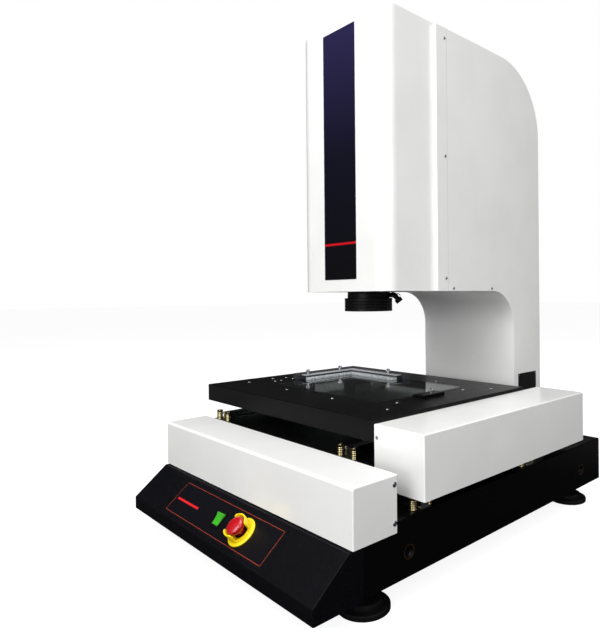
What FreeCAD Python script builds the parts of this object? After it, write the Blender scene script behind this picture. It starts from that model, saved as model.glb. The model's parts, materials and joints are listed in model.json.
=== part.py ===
import FreeCAD, Part
import math
import os

os.makedirs("parts", exist_ok=True)
V = FreeCAD.Vector

# All sizes are millimetres. X runs across the front, Y to the back, Z up from the floor.
# x = 0 is the middle plane of the machine and y = 0 the front lip of the console.
run_gap = 0.05
fit_gap = 0.3
slide_gap = 0.5
sheet = 2.5
bend_r = 2.0

# Levelling feet
floor_gap = 40.0
foot_r = 42.0
foot_h = 9.0
foot_step_r = 30.0
foot_step_h = 8.0
foot_nut_r = 13.0
foot_nut_h = 10.0
foot_stud_r = 8.0
foot_stud_in = 30.0
foot_side_inset = 42.0
foot_front_inset = 38.0
foot_rear_inset = 80.0
socket_r = 13.0
socket_depth = 40.0

# Granite base slab
base_w = 600.0
base_tuck = 8.0
base_h = 95.0
base_chamfer = 1.5
console_d = 92.0
insert_r = 11.5
insert_hole_r = 6.0
insert_len = 26.0
insert_hole_len = 22.0
insert_up = 39.5
insert_front = 97.0
insert_rear = 93.0

# Linear rails, their blocks and end posts
axis_y = 390.0
rail_w = 20.0
rail_h = 17.5
rail_waist = 14.0
rail_hole_r = 4.7
rail_hole_deep = 8.5
rail_pitch = 60.0
block_w = 44.0
block_len = 62.0
block_h = 30.0
block_lift = 4.5
post_r = 6.8
post_h = 18.0
post_head_r = 4.6
post_head_h = 2.5
post_hex_r = 2.4
post_hex_deep = 2.0
x_post_gap = 1.8
y_post_gap = 1.8
post_end = 10.0
x_rail_gauge = 320.0
x_rail_end = 3.0
x_block_space = 118.0
x_travel = 300.0

# Saddle that slides along X and carries the Y rails
stage_x = -82.0
saddle_t = 25.0
saddle_left = 253.0
saddle_nose = 13.5
stage_lead = 26.7
y_rail_gauge = 437.0
y_rail_end = 3.0
y_block_lead = 216.7
y_block_space = 146.0
light_slot_half = 6.0

# Measuring table that slides along Y
table_w = 576.0
table_rise = 8.6
table_d = 474.0
table_plate = 26.0
table_skirt = 12.0
skirt_t = 8.0
glass_w = 373.0
glass_d = 271.0
glass_t = 10.0
glass_r = 13.0
glass_ledge = 9.0
glass_front = 110.0
glass_gap = 0.2
pad_w = 50.0
pad_len = 70.0
screw_row = 160.0
screw_front = 83.0
screw_head_r = 4.0
screw_head_h = 0.8
clamp_hole_r = 2.5
clamp_hole_len = 15.0

# Corner stop frame and side clamp on the table
frame_out = 20.6
frame_back = 15.6
frame_arm_x = 219.0
frame_arm_y = 204.0
frame_bar_w = 20.0
frame_bar_h = 14.0
frame_ledge_w = 18.0
frame_ledge_h = 11.0
frame_step_w = 13.0
frame_step_h = 5.5
frame_short = 12.0
cap_screw_r = 5.0
cap_screw_h = 6.0
cap_shank_r = 3.0
cap_shank_h = 6.0
clamp_w = 28.0
clamp_len = 67.0
clamp_h = 6.5
clamp_inset = 80.0
clamp_front = 205.7
clamp_screw_back = 27.0
clamp_shank_h = 3.5
clamp_head_h = 5.0

# Y drive cover on the right of the saddle
y_cover_w = 111.4
y_cover_len = 530.4
y_cover_gap = 2.9
y_cover_drop = 8.5
y_cover_top = 261.0
y_cover_lip = 18.0

# X drive cover along the front of the base
x_cover_front = 70.5
x_cover_rear = 161.0
x_cover_bottom = 118.0
x_cover_top = 206.5
x_cover_round = 4.5
x_cover_lip = 14.0

# Ball screws, motors and their blocks
screw_r = 8.0
nut_len = 40.0
nut_w = 36.0
motor_w = 57.0
motor_len = 72.0
motor_boss_r = 19.0
motor_boss_h = 2.0
motor_shaft_r = 4.0
shaft_in = 20.0
coupling_r = 13.0
coupling_len = 24.0
bearing_w = 40.0
bearing_t = 20.0
mount_t = 8.0
x_screw_y = 116.0
x_screw_z = 168.0
x_screw_inset = 104.0
y_screw_x = 265.0
y_screw_z = 221.0
y_nut_lead = 292.7
y_screw_lead = 92.7
y_screw_tail = 143.7

# Console with its sloping panel
lip_h = 25.0
slope_run = 65.0
slope_rise = 53.0
console_drop = 2.0
console_t = 2.0
console_round = 3.0
console_edge_r = 1.2
panel_w = 344.0
panel_len = 70.0
panel_t = 0.5
panel_x = -5.0
panel_up = 41.5
rocker_x = -4.0
rocker_up = 40.5
bezel_w = 26.0
bezel_len = 29.5
bezel_h = 2.0
rocker_w = 19.0
rocker_len = 22.4
rocker_rise = 4.3
rocker_dip = 1.2
rocker_deep = 16.0
rocker_tilt = 16.0
rocker_pin_r = 1.5
well_t = 1.5
stop_x = 72.0
stop_up = 40.0
stop_neck_r = 11.0
stop_flange_r = 26.0
stop_flange_h = 2.5
stop_wall_r = 21.0
stop_wall_t = 2.5
stop_wall_low = 7.0
stop_wall_high = 23.0
mushroom_r = 16.2
mushroom_low = 15.0
mushroom_edge = 7.0
mushroom_dome = 4.0
stem_r = 8.0
stop_push = 5.0
stop_body_deep = 32.0
board_x = -130.0
board_w = 120.0
board_d = 54.0
board_in = 8.0
board_up = 6.0
board_t = 2.0
board_post_r = 3.0
supply_h = 14.0
driver_h = 10.0

# Column, head and their covers
head_half = 133.0
column_half = 142.0
head_front = 310.0
head_rear = 456.0
head_low = 486.0
head_over = 5.0
head_top = 1043.0
head_round = 32.0
cover_tongue = 10.0
lens_port_r = 58.0
column_clear = 8.3
column_deep = 122.0
arch_r = 85.0
brow_r = 165.0
mouth_wall = 2.5
casting_half = 112.0
casting_wall = 14.0
casting_gap = 10.0
casting_down = 118.0
casting_front = 470.0
label_w = 100.0
label_up = 25.0
label_down = 11.0
label_t = 0.5
plate_in = 18.0
plate_len = 82.0
plate_up = 101.0
plate_tall = 46.0
plate_t = 0.8
cover_screw_r = 3.2
cover_screw_h = 1.6
end_screw_r = 4.4
end_screw_down = 14.0
end_screw_up = 15.5
seam_in = 27.0
seam_top = 22.0
seam_mid = 7.0
seam_low = 27.0
under_up = 5.5
under_first = 25.0
under_last = 167.0
inlet_w = 48.0
inlet_h = 28.0
inlet_up = 55.0
inlet_flange = 1.5
inlet_rim = 4.0
inlet_deep = 26.0

# Z slide, camera, lens and ring light
z_rail_gauge = 140.0
z_rail_up = 26.0
z_rail_down = 20.0
z_block_down = 110.0
z_block_space = 48.0
z_plate_t = 18.0
z_plate_half = 94.0
z_plate_over = 2.0
z_screw_in = 15.0
z_bearing_up = 52.0
lens_r = 22.0
lens_low = 450.0
lens_body_r = 27.0
lens_body_low = 520.0
lens_body_high = 690.0
zoom_ring_r = 31.0
zoom_ring_low = 560.0
zoom_ring_len = 26.0
clamp_ring_r = 36.0
arm_w = 52.0
arm_up = 92.0
arm_tall = 60.0
arm_brace = 40.0
camera_w = 56.0
camera_h = 78.0
ring_r = 52.0
ring_window_r = 40.0
ring_low = 444.0
ring_h = 28.0
collar_r = 45.5
collar_h = 13.0
plug_r = 5.5
plug_out = 58.0
backlight_r = 42.0
backlight_h = 80.0

# Heights and places that follow from the sizes above
base_low = floor_gap
base_top = floor_gap + base_h
saddle_low = base_top + block_h
saddle_top = saddle_low + saddle_t
table_low = saddle_top + block_h
skirt_low = table_low + table_rise
plate_under = skirt_low + table_skirt
table_top_z = plate_under + table_plate
stage_front = axis_y - x_rail_gauge / 2 - stage_lead
table_left = stage_x - table_w / 2
table_right = stage_x + table_w / 2
y_cover_left = table_right + y_cover_gap
y_cover_right = y_cover_left + y_cover_w
y_cover_low = saddle_low - y_cover_drop
y_cover_rear = stage_front + y_cover_len
column_front = y_cover_rear + column_clear
column_rear = column_front + column_deep
base_rear = column_rear - base_tuck
saddle_front = stage_front + sheet
saddle_rear = y_cover_rear - sheet
saddle_right = y_cover_right - sheet
glass_left = stage_x - glass_w / 2
glass_y = stage_front + glass_front
console_low = base_low - console_drop
lip_top = console_low + lip_h
console_top = lip_top + slope_rise
slope_angle = math.degrees(math.atan2(slope_rise, slope_run))
x_rail_ys = [axis_y - x_rail_gauge / 2, axis_y + x_rail_gauge / 2]
y_rail_xs = [stage_x - y_rail_gauge / 2, stage_x + y_rail_gauge / 2]
x_block_half = (block_len + x_block_space) / 2
x_block_xs = [stage_x - x_block_half, stage_x + x_block_half]
y_block_front = stage_front + y_block_lead
y_block_ys = [y_block_front, y_block_front + block_len + y_block_space]
x_screw_half = base_w / 2 - x_screw_inset
y_nut_at = stage_front + y_nut_lead
y_screw_front = stage_front + y_screw_lead
y_screw_rear = y_cover_rear - y_screw_tail
brow_z = head_top - brow_r
casting_top = head_top - casting_down
z_rail_low = head_low + z_rail_up
z_rail_high = casting_top - z_rail_down
z_block_high = casting_top - z_block_down
z_block_low = z_block_high - block_len - z_block_space
z_plate_low = z_block_low - block_len / 2 - z_plate_over
z_plate_high = z_block_high + block_len / 2 + z_plate_over
z_nut_at = (z_block_low + z_block_high) / 2
z_screw_y = casting_front - z_screw_in
z_bearing_low = head_low + z_bearing_up
inlet_z = base_top + inlet_up
foot_xs = [-(base_w / 2 - foot_side_inset), base_w / 2 - foot_side_inset]
foot_ys = [console_d + foot_front_inset, base_rear - foot_rear_inset]

# The origin is on the floor, under the middle of the whole machine as it is parked.
frame_x = -(table_left + y_cover_right) / 2
frame_y = -(column_rear + inlet_flange) / 2


def box(x0, x1, y0, y1, z0, z1):
    return Part.makeBox(x1 - x0, y1 - y0, z1 - z0, V(x0, y0, z0))


def rod(r, start, end):
    a, b = V(*start), V(*end)
    return Part.makeCylinder(r, (b - a).Length, a, b - a)


def join(shapes):
    return shapes[0].fuse(shapes[1:]).removeSplitter()


def prism(points, direction):
    wire = Part.makePolygon([V(*p) for p in points + points[:1]])
    return Part.Face(wire).extrude(V(*direction))


# Rounds the straight edges that run along one axis and lie at the chosen places.
def round_edges(shape, radius, axis, at):
    chosen = []
    for edge in shape.Edges:
        if len(edge.Vertexes) == 2:
            step = edge.Vertexes[1].Point - edge.Vertexes[0].Point
            if step.Length > 0 and abs(abs(step.dot(axis)) - step.Length) < 1e-6 and at(edge.CenterOfMass):
                chosen.append(edge)
    return shape.makeFillet(radius, chosen)


def save(node, *solids):
    shape = solids[0] if len(solids) == 1 else Part.makeCompound(list(solids))
    moved = shape.copy()
    moved.translate(V(frame_x, frame_y, 0))
    moved.exportStep("parts/" + node + ".step")


# A levelling foot: rubber disc, metal step, lock nut and threaded stud in one turning piece.
def foot(x, y):
    disc = rod(foot_r, (x, y, 0), (x, y, foot_h))
    disc = disc.makeChamfer(1.5, [e for e in disc.Edges if abs(e.CenterOfMass.z - foot_h) < 1e-6])
    step = rod(foot_step_r, (x, y, foot_h), (x, y, foot_h + foot_step_h))
    nut_low = floor_gap - foot_nut_h - 2
    stud = rod(foot_stud_r, (x, y, foot_h), (x, y, base_low + foot_stud_in))
    corners = [(x + foot_nut_r * math.cos(math.radians(60 * i)),
                y + foot_nut_r * math.sin(math.radians(60 * i)), nut_low) for i in range(6)]
    nut = prism(corners, (0, 0, foot_nut_h))
    return join([disc, step, stud, nut])


# A profile rail on the plane z = 0, running along X from 0, with its screw holes.
def rail(length):
    half, waist = rail_w / 2, rail_waist / 2
    side = [(half, 0), (half, 5), (waist, 8), (waist, 11), (half, 13.5), (half, rail_h - 1), (half - 1, rail_h)]
    points = [(0, y, z) for y, z in side] + [(0, -y, z) for y, z in reversed(side)]
    body = prism(points, (length, 0, 0))
    count = int((length - rail_pitch / 2) // rail_pitch) + 1
    first = (length - (count - 1) * rail_pitch) / 2
    for i in range(count):
        x = first + i * rail_pitch
        body = body.cut(rod(rail_hole_r, (x, 0, rail_h - rail_hole_deep), (x, 0, rail_h + 1)))
    return body


# A carriage block over the rail, centred on x = 0, with its rail's foot on z = 0.
def block():
    half = block_len / 2
    body = box(-half, half, -block_w / 2, block_w / 2, block_lift, block_h)
    channel = rail_w / 2 + slide_gap
    body = body.cut(box(-half, half, -channel, channel, 0, rail_h + slide_gap))
    for end in (-half, half - 5):
        for side in (-1, 1):
            y0, y1 = sorted((side * (block_w / 2 - 2), side * block_w / 2))
            body = body.cut(box(end, end + 5, y0, y1, block_lift, block_h))
    return body


# A rail end post: ribbed sleeve and a socket screw through it, standing on z = 0.
def end_post(x, y, z):
    sleeve = rod(post_r, (x, y, z), (x, y, z + post_h))
    sleeve = sleeve.makeChamfer(1, [e for e in sleeve.Edges if abs(e.CenterOfMass.z - z - post_h) < 1e-6])
    head = rod(post_head_r, (x, y, z + post_h), (x, y, z + post_h + post_head_h))
    top = z + post_h + post_head_h
    hexagon = rod(post_hex_r, (x, y, top - post_hex_deep), (x, y, top))
    return [sleeve, head.cut(hexagon)]


def end_posts(centres, z):
    return [piece for x, y in centres for piece in end_post(x, y, z)]


# A screw head with a hexagon socket, on the point where it meets its face.
def screw_head(point, direction, r, h):
    a = V(*point)
    b = a + V(*direction) * h
    head = rod(r, tuple(a), tuple(b))
    low = a + V(*direction) * (h * 0.4)
    return head.cut(rod(r * 0.5, tuple(low), tuple(b + V(*direction))))


# A stepper motor: square body, thin front boss and a bore for its shaft, on the axis from its front face.
def motor(face, direction, up):
    d, u = V(*direction), V(*up)
    s = d.cross(u)
    half = motor_w / 2
    c = V(*face)
    corners = [tuple(c + s * (i * half) + u * (j * half)) for i, j in ((-1, -1), (1, -1), (1, 1), (-1, 1))]
    body = prism(corners, tuple(d * -motor_len))
    body = body.makeChamfer(4, [e for e in body.Edges if abs(e.Length - motor_len) < 1e-6])
    boss = rod(motor_boss_r, tuple(c), tuple(c + d * motor_boss_h))
    bore = rod(motor_shaft_r + run_gap, tuple(c - d * shaft_in), tuple(c + d * motor_boss_h))
    return join([body, boss]).cut(bore)


# A turning ball screw with its coupling and the motor shaft, from its far end back to the motor face.
def screw_shaft(far, near, face):
    a, b, c = V(*far), V(*near), V(*face)
    d = (c - a).normalize()
    screw = rod(screw_r, far, near)
    grip = rod(coupling_r, tuple(b + d), tuple(b + d * (1 + coupling_len)))
    neck = rod(motor_shaft_r, tuple(b), tuple(c + d * (shaft_in - 2)))
    return join([screw, grip, neck])


# Base slab with foot sockets and lifting inserts
def build_base():
    slab = box(-base_w / 2, base_w / 2, console_d, base_rear, base_low, base_top)
    slab = slab.makeChamfer(base_chamfer, slab.Edges)
    sockets = []
    for x in foot_xs:
        for y in foot_ys:
            hole = rod(socket_r, (x, y, base_low), (x, y, base_low + socket_depth))
            slab = slab.cut(hole)
            sockets.append(hole.cut(rod(foot_stud_r + run_gap, (x, y, base_low), (x, y, base_low + socket_depth))))
    inserts = []
    for side in (-1, 1):
        for y in (console_d + insert_front, base_rear - insert_rear):
            z = base_low + insert_up
            face = side * base_w / 2
            plug = rod(insert_r, (face, y, z), (face - side * insert_len, y, z))
            slab = slab.cut(plug)
            inserts.append(plug.cut(rod(insert_hole_r, (face, y, z), (face - side * insert_hole_len, y, z))))
    save("granite_base", slab)
    save("foot_sockets", *sockets)
    save("lifting_inserts", *inserts)
    names = ["foot_front_left", "foot_rear_left", "foot_front_right", "foot_rear_right"]
    places = [(x, y) for x in foot_xs for y in foot_ys]
    for name, (x, y) in zip(names, places):
        save(name, foot(x, y))


# X rails on the base, the saddle with its blocks, and the Y rails on the saddle
def build_slides():
    length = base_w - 2 * x_rail_end
    x_side = rail_w / 2 + post_r + x_post_gap
    rails = []
    posts = []
    for y in x_rail_ys:
        bar = rail(length)
        bar.translate(V(-length / 2, y, base_top))
        rails.append(bar)
        for x in (-(length / 2 - post_end), length / 2 - post_end):
            posts += [(x, y - x_side), (x, y + x_side)]
    save("x_rails", *rails)
    save("x_rail_stops", *end_posts(posts, base_top))
    blocks = []
    for x in x_block_xs:
        for y in x_rail_ys:
            piece = block()
            piece.translate(V(x, y, base_top))
            blocks.append(piece)
    save("x_carriages", *blocks)

    left = stage_x - saddle_left
    plate = box(left, saddle_right, saddle_front, saddle_rear, saddle_low, saddle_top)
    plate = plate.fuse(box(left, table_right, saddle_front - saddle_nose, saddle_front, saddle_low, saddle_top))
    plate = round_edges(plate.removeSplitter(), 6, V(0, 0, 1), lambda c: c.x < left + 1)
    reach = backlight_r + light_slot_half
    slot = box(stage_x - x_travel / 2 - reach, stage_x + x_travel / 2 + reach,
               axis_y - reach, axis_y + reach, saddle_low, saddle_top)
    plate = plate.cut(slot)
    corner = y_cover_left + sheet
    for y0, y1 in ((saddle_front, saddle_front + 12), (saddle_rear - 12, saddle_rear)):
        plate = plate.fuse(box(corner, corner + 12, y0, y1, saddle_top, y_cover_top - sheet))
    save("saddle_plate", plate.removeSplitter())

    length = saddle_rear - saddle_front - 2 * y_rail_end
    y_side = rail_w / 2 + post_r + y_post_gap
    rails = []
    posts = []
    for x in y_rail_xs:
        bar = rail(length)
        bar.rotate(V(0, 0, 0), V(0, 0, 1), 90)
        bar.translate(V(x, saddle_front + y_rail_end, saddle_top))
        rails.append(bar)
        for y in (saddle_front - saddle_nose + post_end + 3.5, saddle_rear - y_rail_end - post_end):
            posts += [(x - y_side, y), (x + y_side, y)]
    save("y_rails", *rails)
    save("y_rail_stops", *end_posts(posts, saddle_top))
    blocks = []
    for x in y_rail_xs:
        for y in y_block_ys:
            piece = block()
            piece.rotate(V(0, 0, 0), V(0, 0, 1), 90)
            piece.translate(V(x, y, saddle_top))
            blocks.append(piece)
    save("y_carriages", *blocks)


# Contour light that stands on the base under the glass
def build_backlight():
    foot_plate = rod(backlight_r - 3, (0, axis_y, base_top), (0, axis_y, base_top + 10))
    body = rod(backlight_r - 9, (0, axis_y, base_top + 10), (0, axis_y, base_top + backlight_h - 18))
    crown = rod(backlight_r, (0, axis_y, base_top + backlight_h - 18), (0, axis_y, base_top + backlight_h))
    lens_seat = rod(backlight_r - 8, (0, axis_y, base_top + backlight_h - 3), (0, axis_y, base_top + backlight_h))
    save("backlight", join([foot_plate, body, crown]).cut(lens_seat))


# Measuring table, its glass, stop frame, side clamp and screws
def build_table():
    rear = stage_front + table_d
    plate = box(table_left, table_right, stage_front, rear, skirt_low, table_top_z)
    hollow = box(table_left + skirt_t, table_right - skirt_t, stage_front + skirt_t, rear - skirt_t,
                 skirt_low, plate_under)
    plate = plate.cut(hollow)
    for x in y_rail_xs:
        for y in y_block_ys:
            plate = plate.fuse(box(x - pad_w / 2, x + pad_w / 2, y - pad_len / 2, y + pad_len / 2,
                                   table_low, plate_under))
    nut_pad = box(table_right - 56, table_right - skirt_t, y_nut_at - nut_len / 2, y_nut_at + nut_len / 2,
                  skirt_low, plate_under)
    plate = plate.fuse(nut_pad).removeSplitter()
    x0, x1 = glass_left, glass_left + glass_w
    y0, y1 = glass_y, glass_y + glass_d

    def window(grow, low, high, radius):
        hole = box(x0 - grow, x1 + grow, y0 - grow, y1 + grow, low, high)
        return round_edges(hole, radius, V(0, 0, 1), lambda c: True)

    plate = plate.cut(window(glass_gap, table_top_z - glass_t, table_top_z + 1, glass_r + glass_gap))
    plate = plate.cut(window(-glass_ledge, skirt_low, table_top_z, glass_r - glass_ledge))
    hole_at = (x0 - 0.5, y0 - 3.3)
    plate = plate.cut(rod(clamp_hole_r, (*hole_at, table_top_z - clamp_hole_len), (*hole_at, table_top_z)))
    plate = plate.makeChamfer(1.2, [e for e in plate.Edges if e.Length > table_d - 1
                                    and abs(e.CenterOfMass.z - table_top_z) < 1e-6])
    save("table_top", plate)
    save("stage_glass", window(0, table_top_z - glass_t, table_top_z, glass_r))

    left, back = x0 - frame_out, y1 + frame_back

    def corner_strip(outside, inside, shorter, high):
        y_end, x_end = back - frame_arm_y + shorter, left + frame_arm_x - shorter
        points = [(left + outside, y_end), (left + inside, y_end), (left + inside, back - inside),
                  (x_end, back - inside), (x_end, back - outside), (left + outside, back - outside)]
        return prism([(x, y, table_top_z) for x, y in points], (0, 0, high))

    ledge_in = frame_bar_w + frame_ledge_w
    ledge = corner_strip(frame_bar_w, ledge_in, frame_short, frame_ledge_h)
    step = corner_strip(ledge_in, ledge_in + frame_step_w, frame_short, frame_step_h)
    save("stop_frame", join([ledge, step]))
    save("stop_frame_bar", corner_strip(0, frame_bar_w, 0, frame_bar_h))
    mid = frame_bar_w + frame_ledge_w / 2
    foot_z = table_top_z + frame_ledge_h
    heads = []
    for x, y in ((left + mid, back - 179), (left + mid, back - 72), (left + 168.5, back - mid)):
        shank = rod(cap_shank_r, (x, y, foot_z), (x, y, foot_z + cap_shank_h))
        head = screw_head((x, y, foot_z + cap_shank_h), (0, 0, 1), cap_screw_r, cap_screw_h)
        heads.append(join([shank, head]))
    x1c = table_right - clamp_inset + clamp_w / 2
    y0c = stage_front + clamp_front
    block_body = box(x1c - clamp_w, x1c, y0c, y0c + clamp_len, table_top_z, table_top_z + clamp_h)
    save("clamp_block", block_body.makeChamfer(1, [e for e in block_body.Edges
                                                   if abs(e.CenterOfMass.z - table_top_z - clamp_h) < 1e-6]))
    x, y, z = x1c - clamp_w / 2, y0c + clamp_len - clamp_screw_back, table_top_z + clamp_h
    shank = rod(cap_shank_r, (x, y, z), (x, y, z + clamp_shank_h))
    heads.append(join([shank, screw_head((x, y, z + clamp_shank_h), (0, 0, 1), cap_screw_r, clamp_head_h)]))
    save("cap_screws", *heads)

    spots = [(stage_x + (i - 1.5) * screw_row, stage_front + screw_front) for i in range(4)]
    spots += [(stage_x + (i - 1.5) * screw_row + 8, rear - 69) for i in (2, 3)]
    spots += [(x1 + 23, y0 + 31), (x1 + 25, y1 - 31)]
    spots += [(x0 - 62, y0 + 48), (x0 - 54, y0 + 83), (x0 - 26, y0 + 85), (x0 - 21, y0 + 46), (x0 - 20, y0 + 27)]
    save("table_screws", *[screw_head((x, y, table_top_z), (0, 0, 1), screw_head_r, screw_head_h)
                           for x, y in spots])


# X drive: screw, motor, blocks and nut arm, under the front cover
def build_x_drive():
    y, z = x_screw_y, x_screw_z
    face_x = -x_screw_half - coupling_len - 2 - motor_boss_h
    save("x_motor", motor((face_x, y, z), (1, 0, 0), (0, 0, 1)))
    save("x_screw", screw_shaft((x_screw_half, y, z), (-x_screw_half, y, z), (face_x, y, z)))
    half = bearing_w / 2
    supports = []
    for x in (-x_screw_half, x_screw_half - bearing_t):
        housing = box(x, x + bearing_t, y - half, y + half, base_top, z + half)
        supports.append(housing.cut(rod(screw_r + run_gap, (x, y, z), (x + bearing_t, y, z))))
    mount = box(face_x, face_x + mount_t, y - motor_w / 2, y + motor_w / 2, base_top, z + motor_w / 2)
    supports.append(mount.cut(rod(motor_boss_r + fit_gap, (face_x, y, z), (face_x + mount_t, y, z))))
    for side in (-1, 1):
        x0, x1 = sorted((side * base_w / 2, side * (base_w / 2 - 12)))
        supports.append(box(x0, x1, x_cover_rear - 14, x_cover_rear - sheet, base_top, x_cover_top - sheet))
    save("x_drive_supports", *supports)
    nut = box(stage_x - nut_len / 2, stage_x + nut_len / 2, y - nut_w / 2, y + nut_w / 2,
              z - nut_w / 2, z + nut_w / 2)
    arm = box(stage_x - nut_len / 2, stage_x + nut_len / 2, y + nut_w / 2, saddle_front - saddle_nose,
              saddle_low + 3, z + nut_w / 2)
    bore = rod(screw_r + run_gap, (stage_x - nut_len, y, z), (stage_x + nut_len, y, z))
    save("x_nut_bracket", nut.fuse(arm).removeSplitter().cut(bore))

    outer_half = base_w / 2 + sheet
    outer = box(-outer_half, outer_half, x_cover_front, x_cover_rear, x_cover_bottom, x_cover_top)
    outer = round_edges(outer, x_cover_round, V(1, 0, 0),
                        lambda c: c.y < x_cover_front + 1 and c.z > x_cover_top - 1)
    outer = outer.makeFillet(bend_r, [e for e in outer.Edges if abs(abs(e.CenterOfMass.x) - outer_half) < 1e-6
                                      and e.CenterOfMass.z > x_cover_bottom + 1])
    inner = box(-base_w / 2, base_w / 2, x_cover_front + sheet, x_cover_rear - sheet,
                x_cover_bottom, x_cover_top - sheet)
    inner = round_edges(inner, x_cover_round - sheet, V(1, 0, 0),
                        lambda c: c.y < x_cover_front + sheet + 1 and c.z > x_cover_top - sheet - 1)
    back = box(-base_w / 2, base_w / 2, x_cover_rear - sheet - 1, x_cover_rear,
               x_cover_bottom, x_cover_top - x_cover_lip)
    save("x_drive_cover", outer.cut(inner).cut(back))


# Y drive: screw, motor, blocks and nut arm, under the cover on the saddle
def build_y_drive():
    x, z = y_screw_x, y_screw_z
    face_y = y_screw_rear + coupling_len + 2 + motor_boss_h
    save("y_motor", motor((x, face_y, z), (0, -1, 0), (0, 0, 1)))
    save("y_screw", screw_shaft((x, y_screw_front, z), (x, y_screw_rear, z), (x, face_y, z)))
    half = bearing_w / 2
    supports = []
    for y in (y_screw_front, y_screw_rear - bearing_t):
        housing = box(x - half, x + half, y, y + bearing_t, saddle_top, z + half)
        supports.append(housing.cut(rod(screw_r + run_gap, (x, y, z), (x, y + bearing_t, z))))
    mount = box(x - motor_w / 2, x + motor_w / 2, face_y - mount_t, face_y, saddle_top, z + motor_w / 2)
    supports.append(mount.cut(rod(motor_boss_r + fit_gap, (x, face_y - mount_t, z), (x, face_y, z))))
    save("y_drive_supports", *supports)
    y0, y1 = y_nut_at - nut_len / 2, y_nut_at + nut_len / 2
    nut = box(x - nut_w / 2, x + nut_w / 2, y0, y1, z - nut_w / 2, z + nut_w / 2)
    arm = box(table_right - 56, x - nut_w / 2, y0 + 5, y1 - 5, table_low - 4, skirt_low)
    bore = rod(screw_r + run_gap, (x, y0, z), (x, y1, z))
    save("y_nut_bracket", nut.fuse(arm).removeSplitter().cut(bore))

    outer = box(y_cover_left, y_cover_right, stage_front, y_cover_rear, y_cover_low, y_cover_top)
    outer = round_edges(outer, bend_r, V(0, 0, 1), lambda c: c.x > y_cover_right - 1)
    outer = outer.makeFillet(bend_r, [e for e in outer.Edges if abs(e.CenterOfMass.z - y_cover_top) < 1e-6])
    inner = box(y_cover_left + sheet, y_cover_right - sheet, stage_front + sheet, y_cover_rear - sheet,
                y_cover_low, y_cover_top - sheet)
    gap = box(y_cover_left, y_cover_left + sheet, stage_front + sheet, y_cover_rear - sheet,
              y_cover_low, y_cover_top - y_cover_lip)
    save("y_drive_cover", outer.cut(inner).cut(gap))
    spot_x, spot_z = y_cover_left + sheet + 4, y_cover_top - 22
    save("y_cover_screws",
         screw_head((spot_x, stage_front, spot_z), (0, -1, 0), cover_screw_r, cover_screw_h),
         screw_head((spot_x, y_cover_rear, spot_z), (0, 1, 0), cover_screw_r, cover_screw_h))


# Moves a piece made on the plane z = 0 to the sloping panel, at x and a distance up the slope.
def on_slope(piece, x, up):
    angle = math.radians(slope_angle)
    piece = piece.copy()
    piece.rotate(V(0, 0, 0), V(1, 0, 0), slope_angle)
    piece.translate(V(x, up * math.cos(angle), lip_top + up * math.sin(angle)))
    return piece


# A ring wall between two angles, standing on z = 0.
def wall_arc(r, t, low, high, start, span):
    outer = Part.makeCylinder(r, high - low, V(0, 0, low), V(0, 0, 1), span)
    inner = Part.makeCylinder(r - t, high - low, V(0, 0, low), V(0, 0, 1), span)
    piece = outer.cut(inner)
    piece.rotate(V(0, 0, 0), V(0, 0, 1), start)
    return piece


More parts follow.
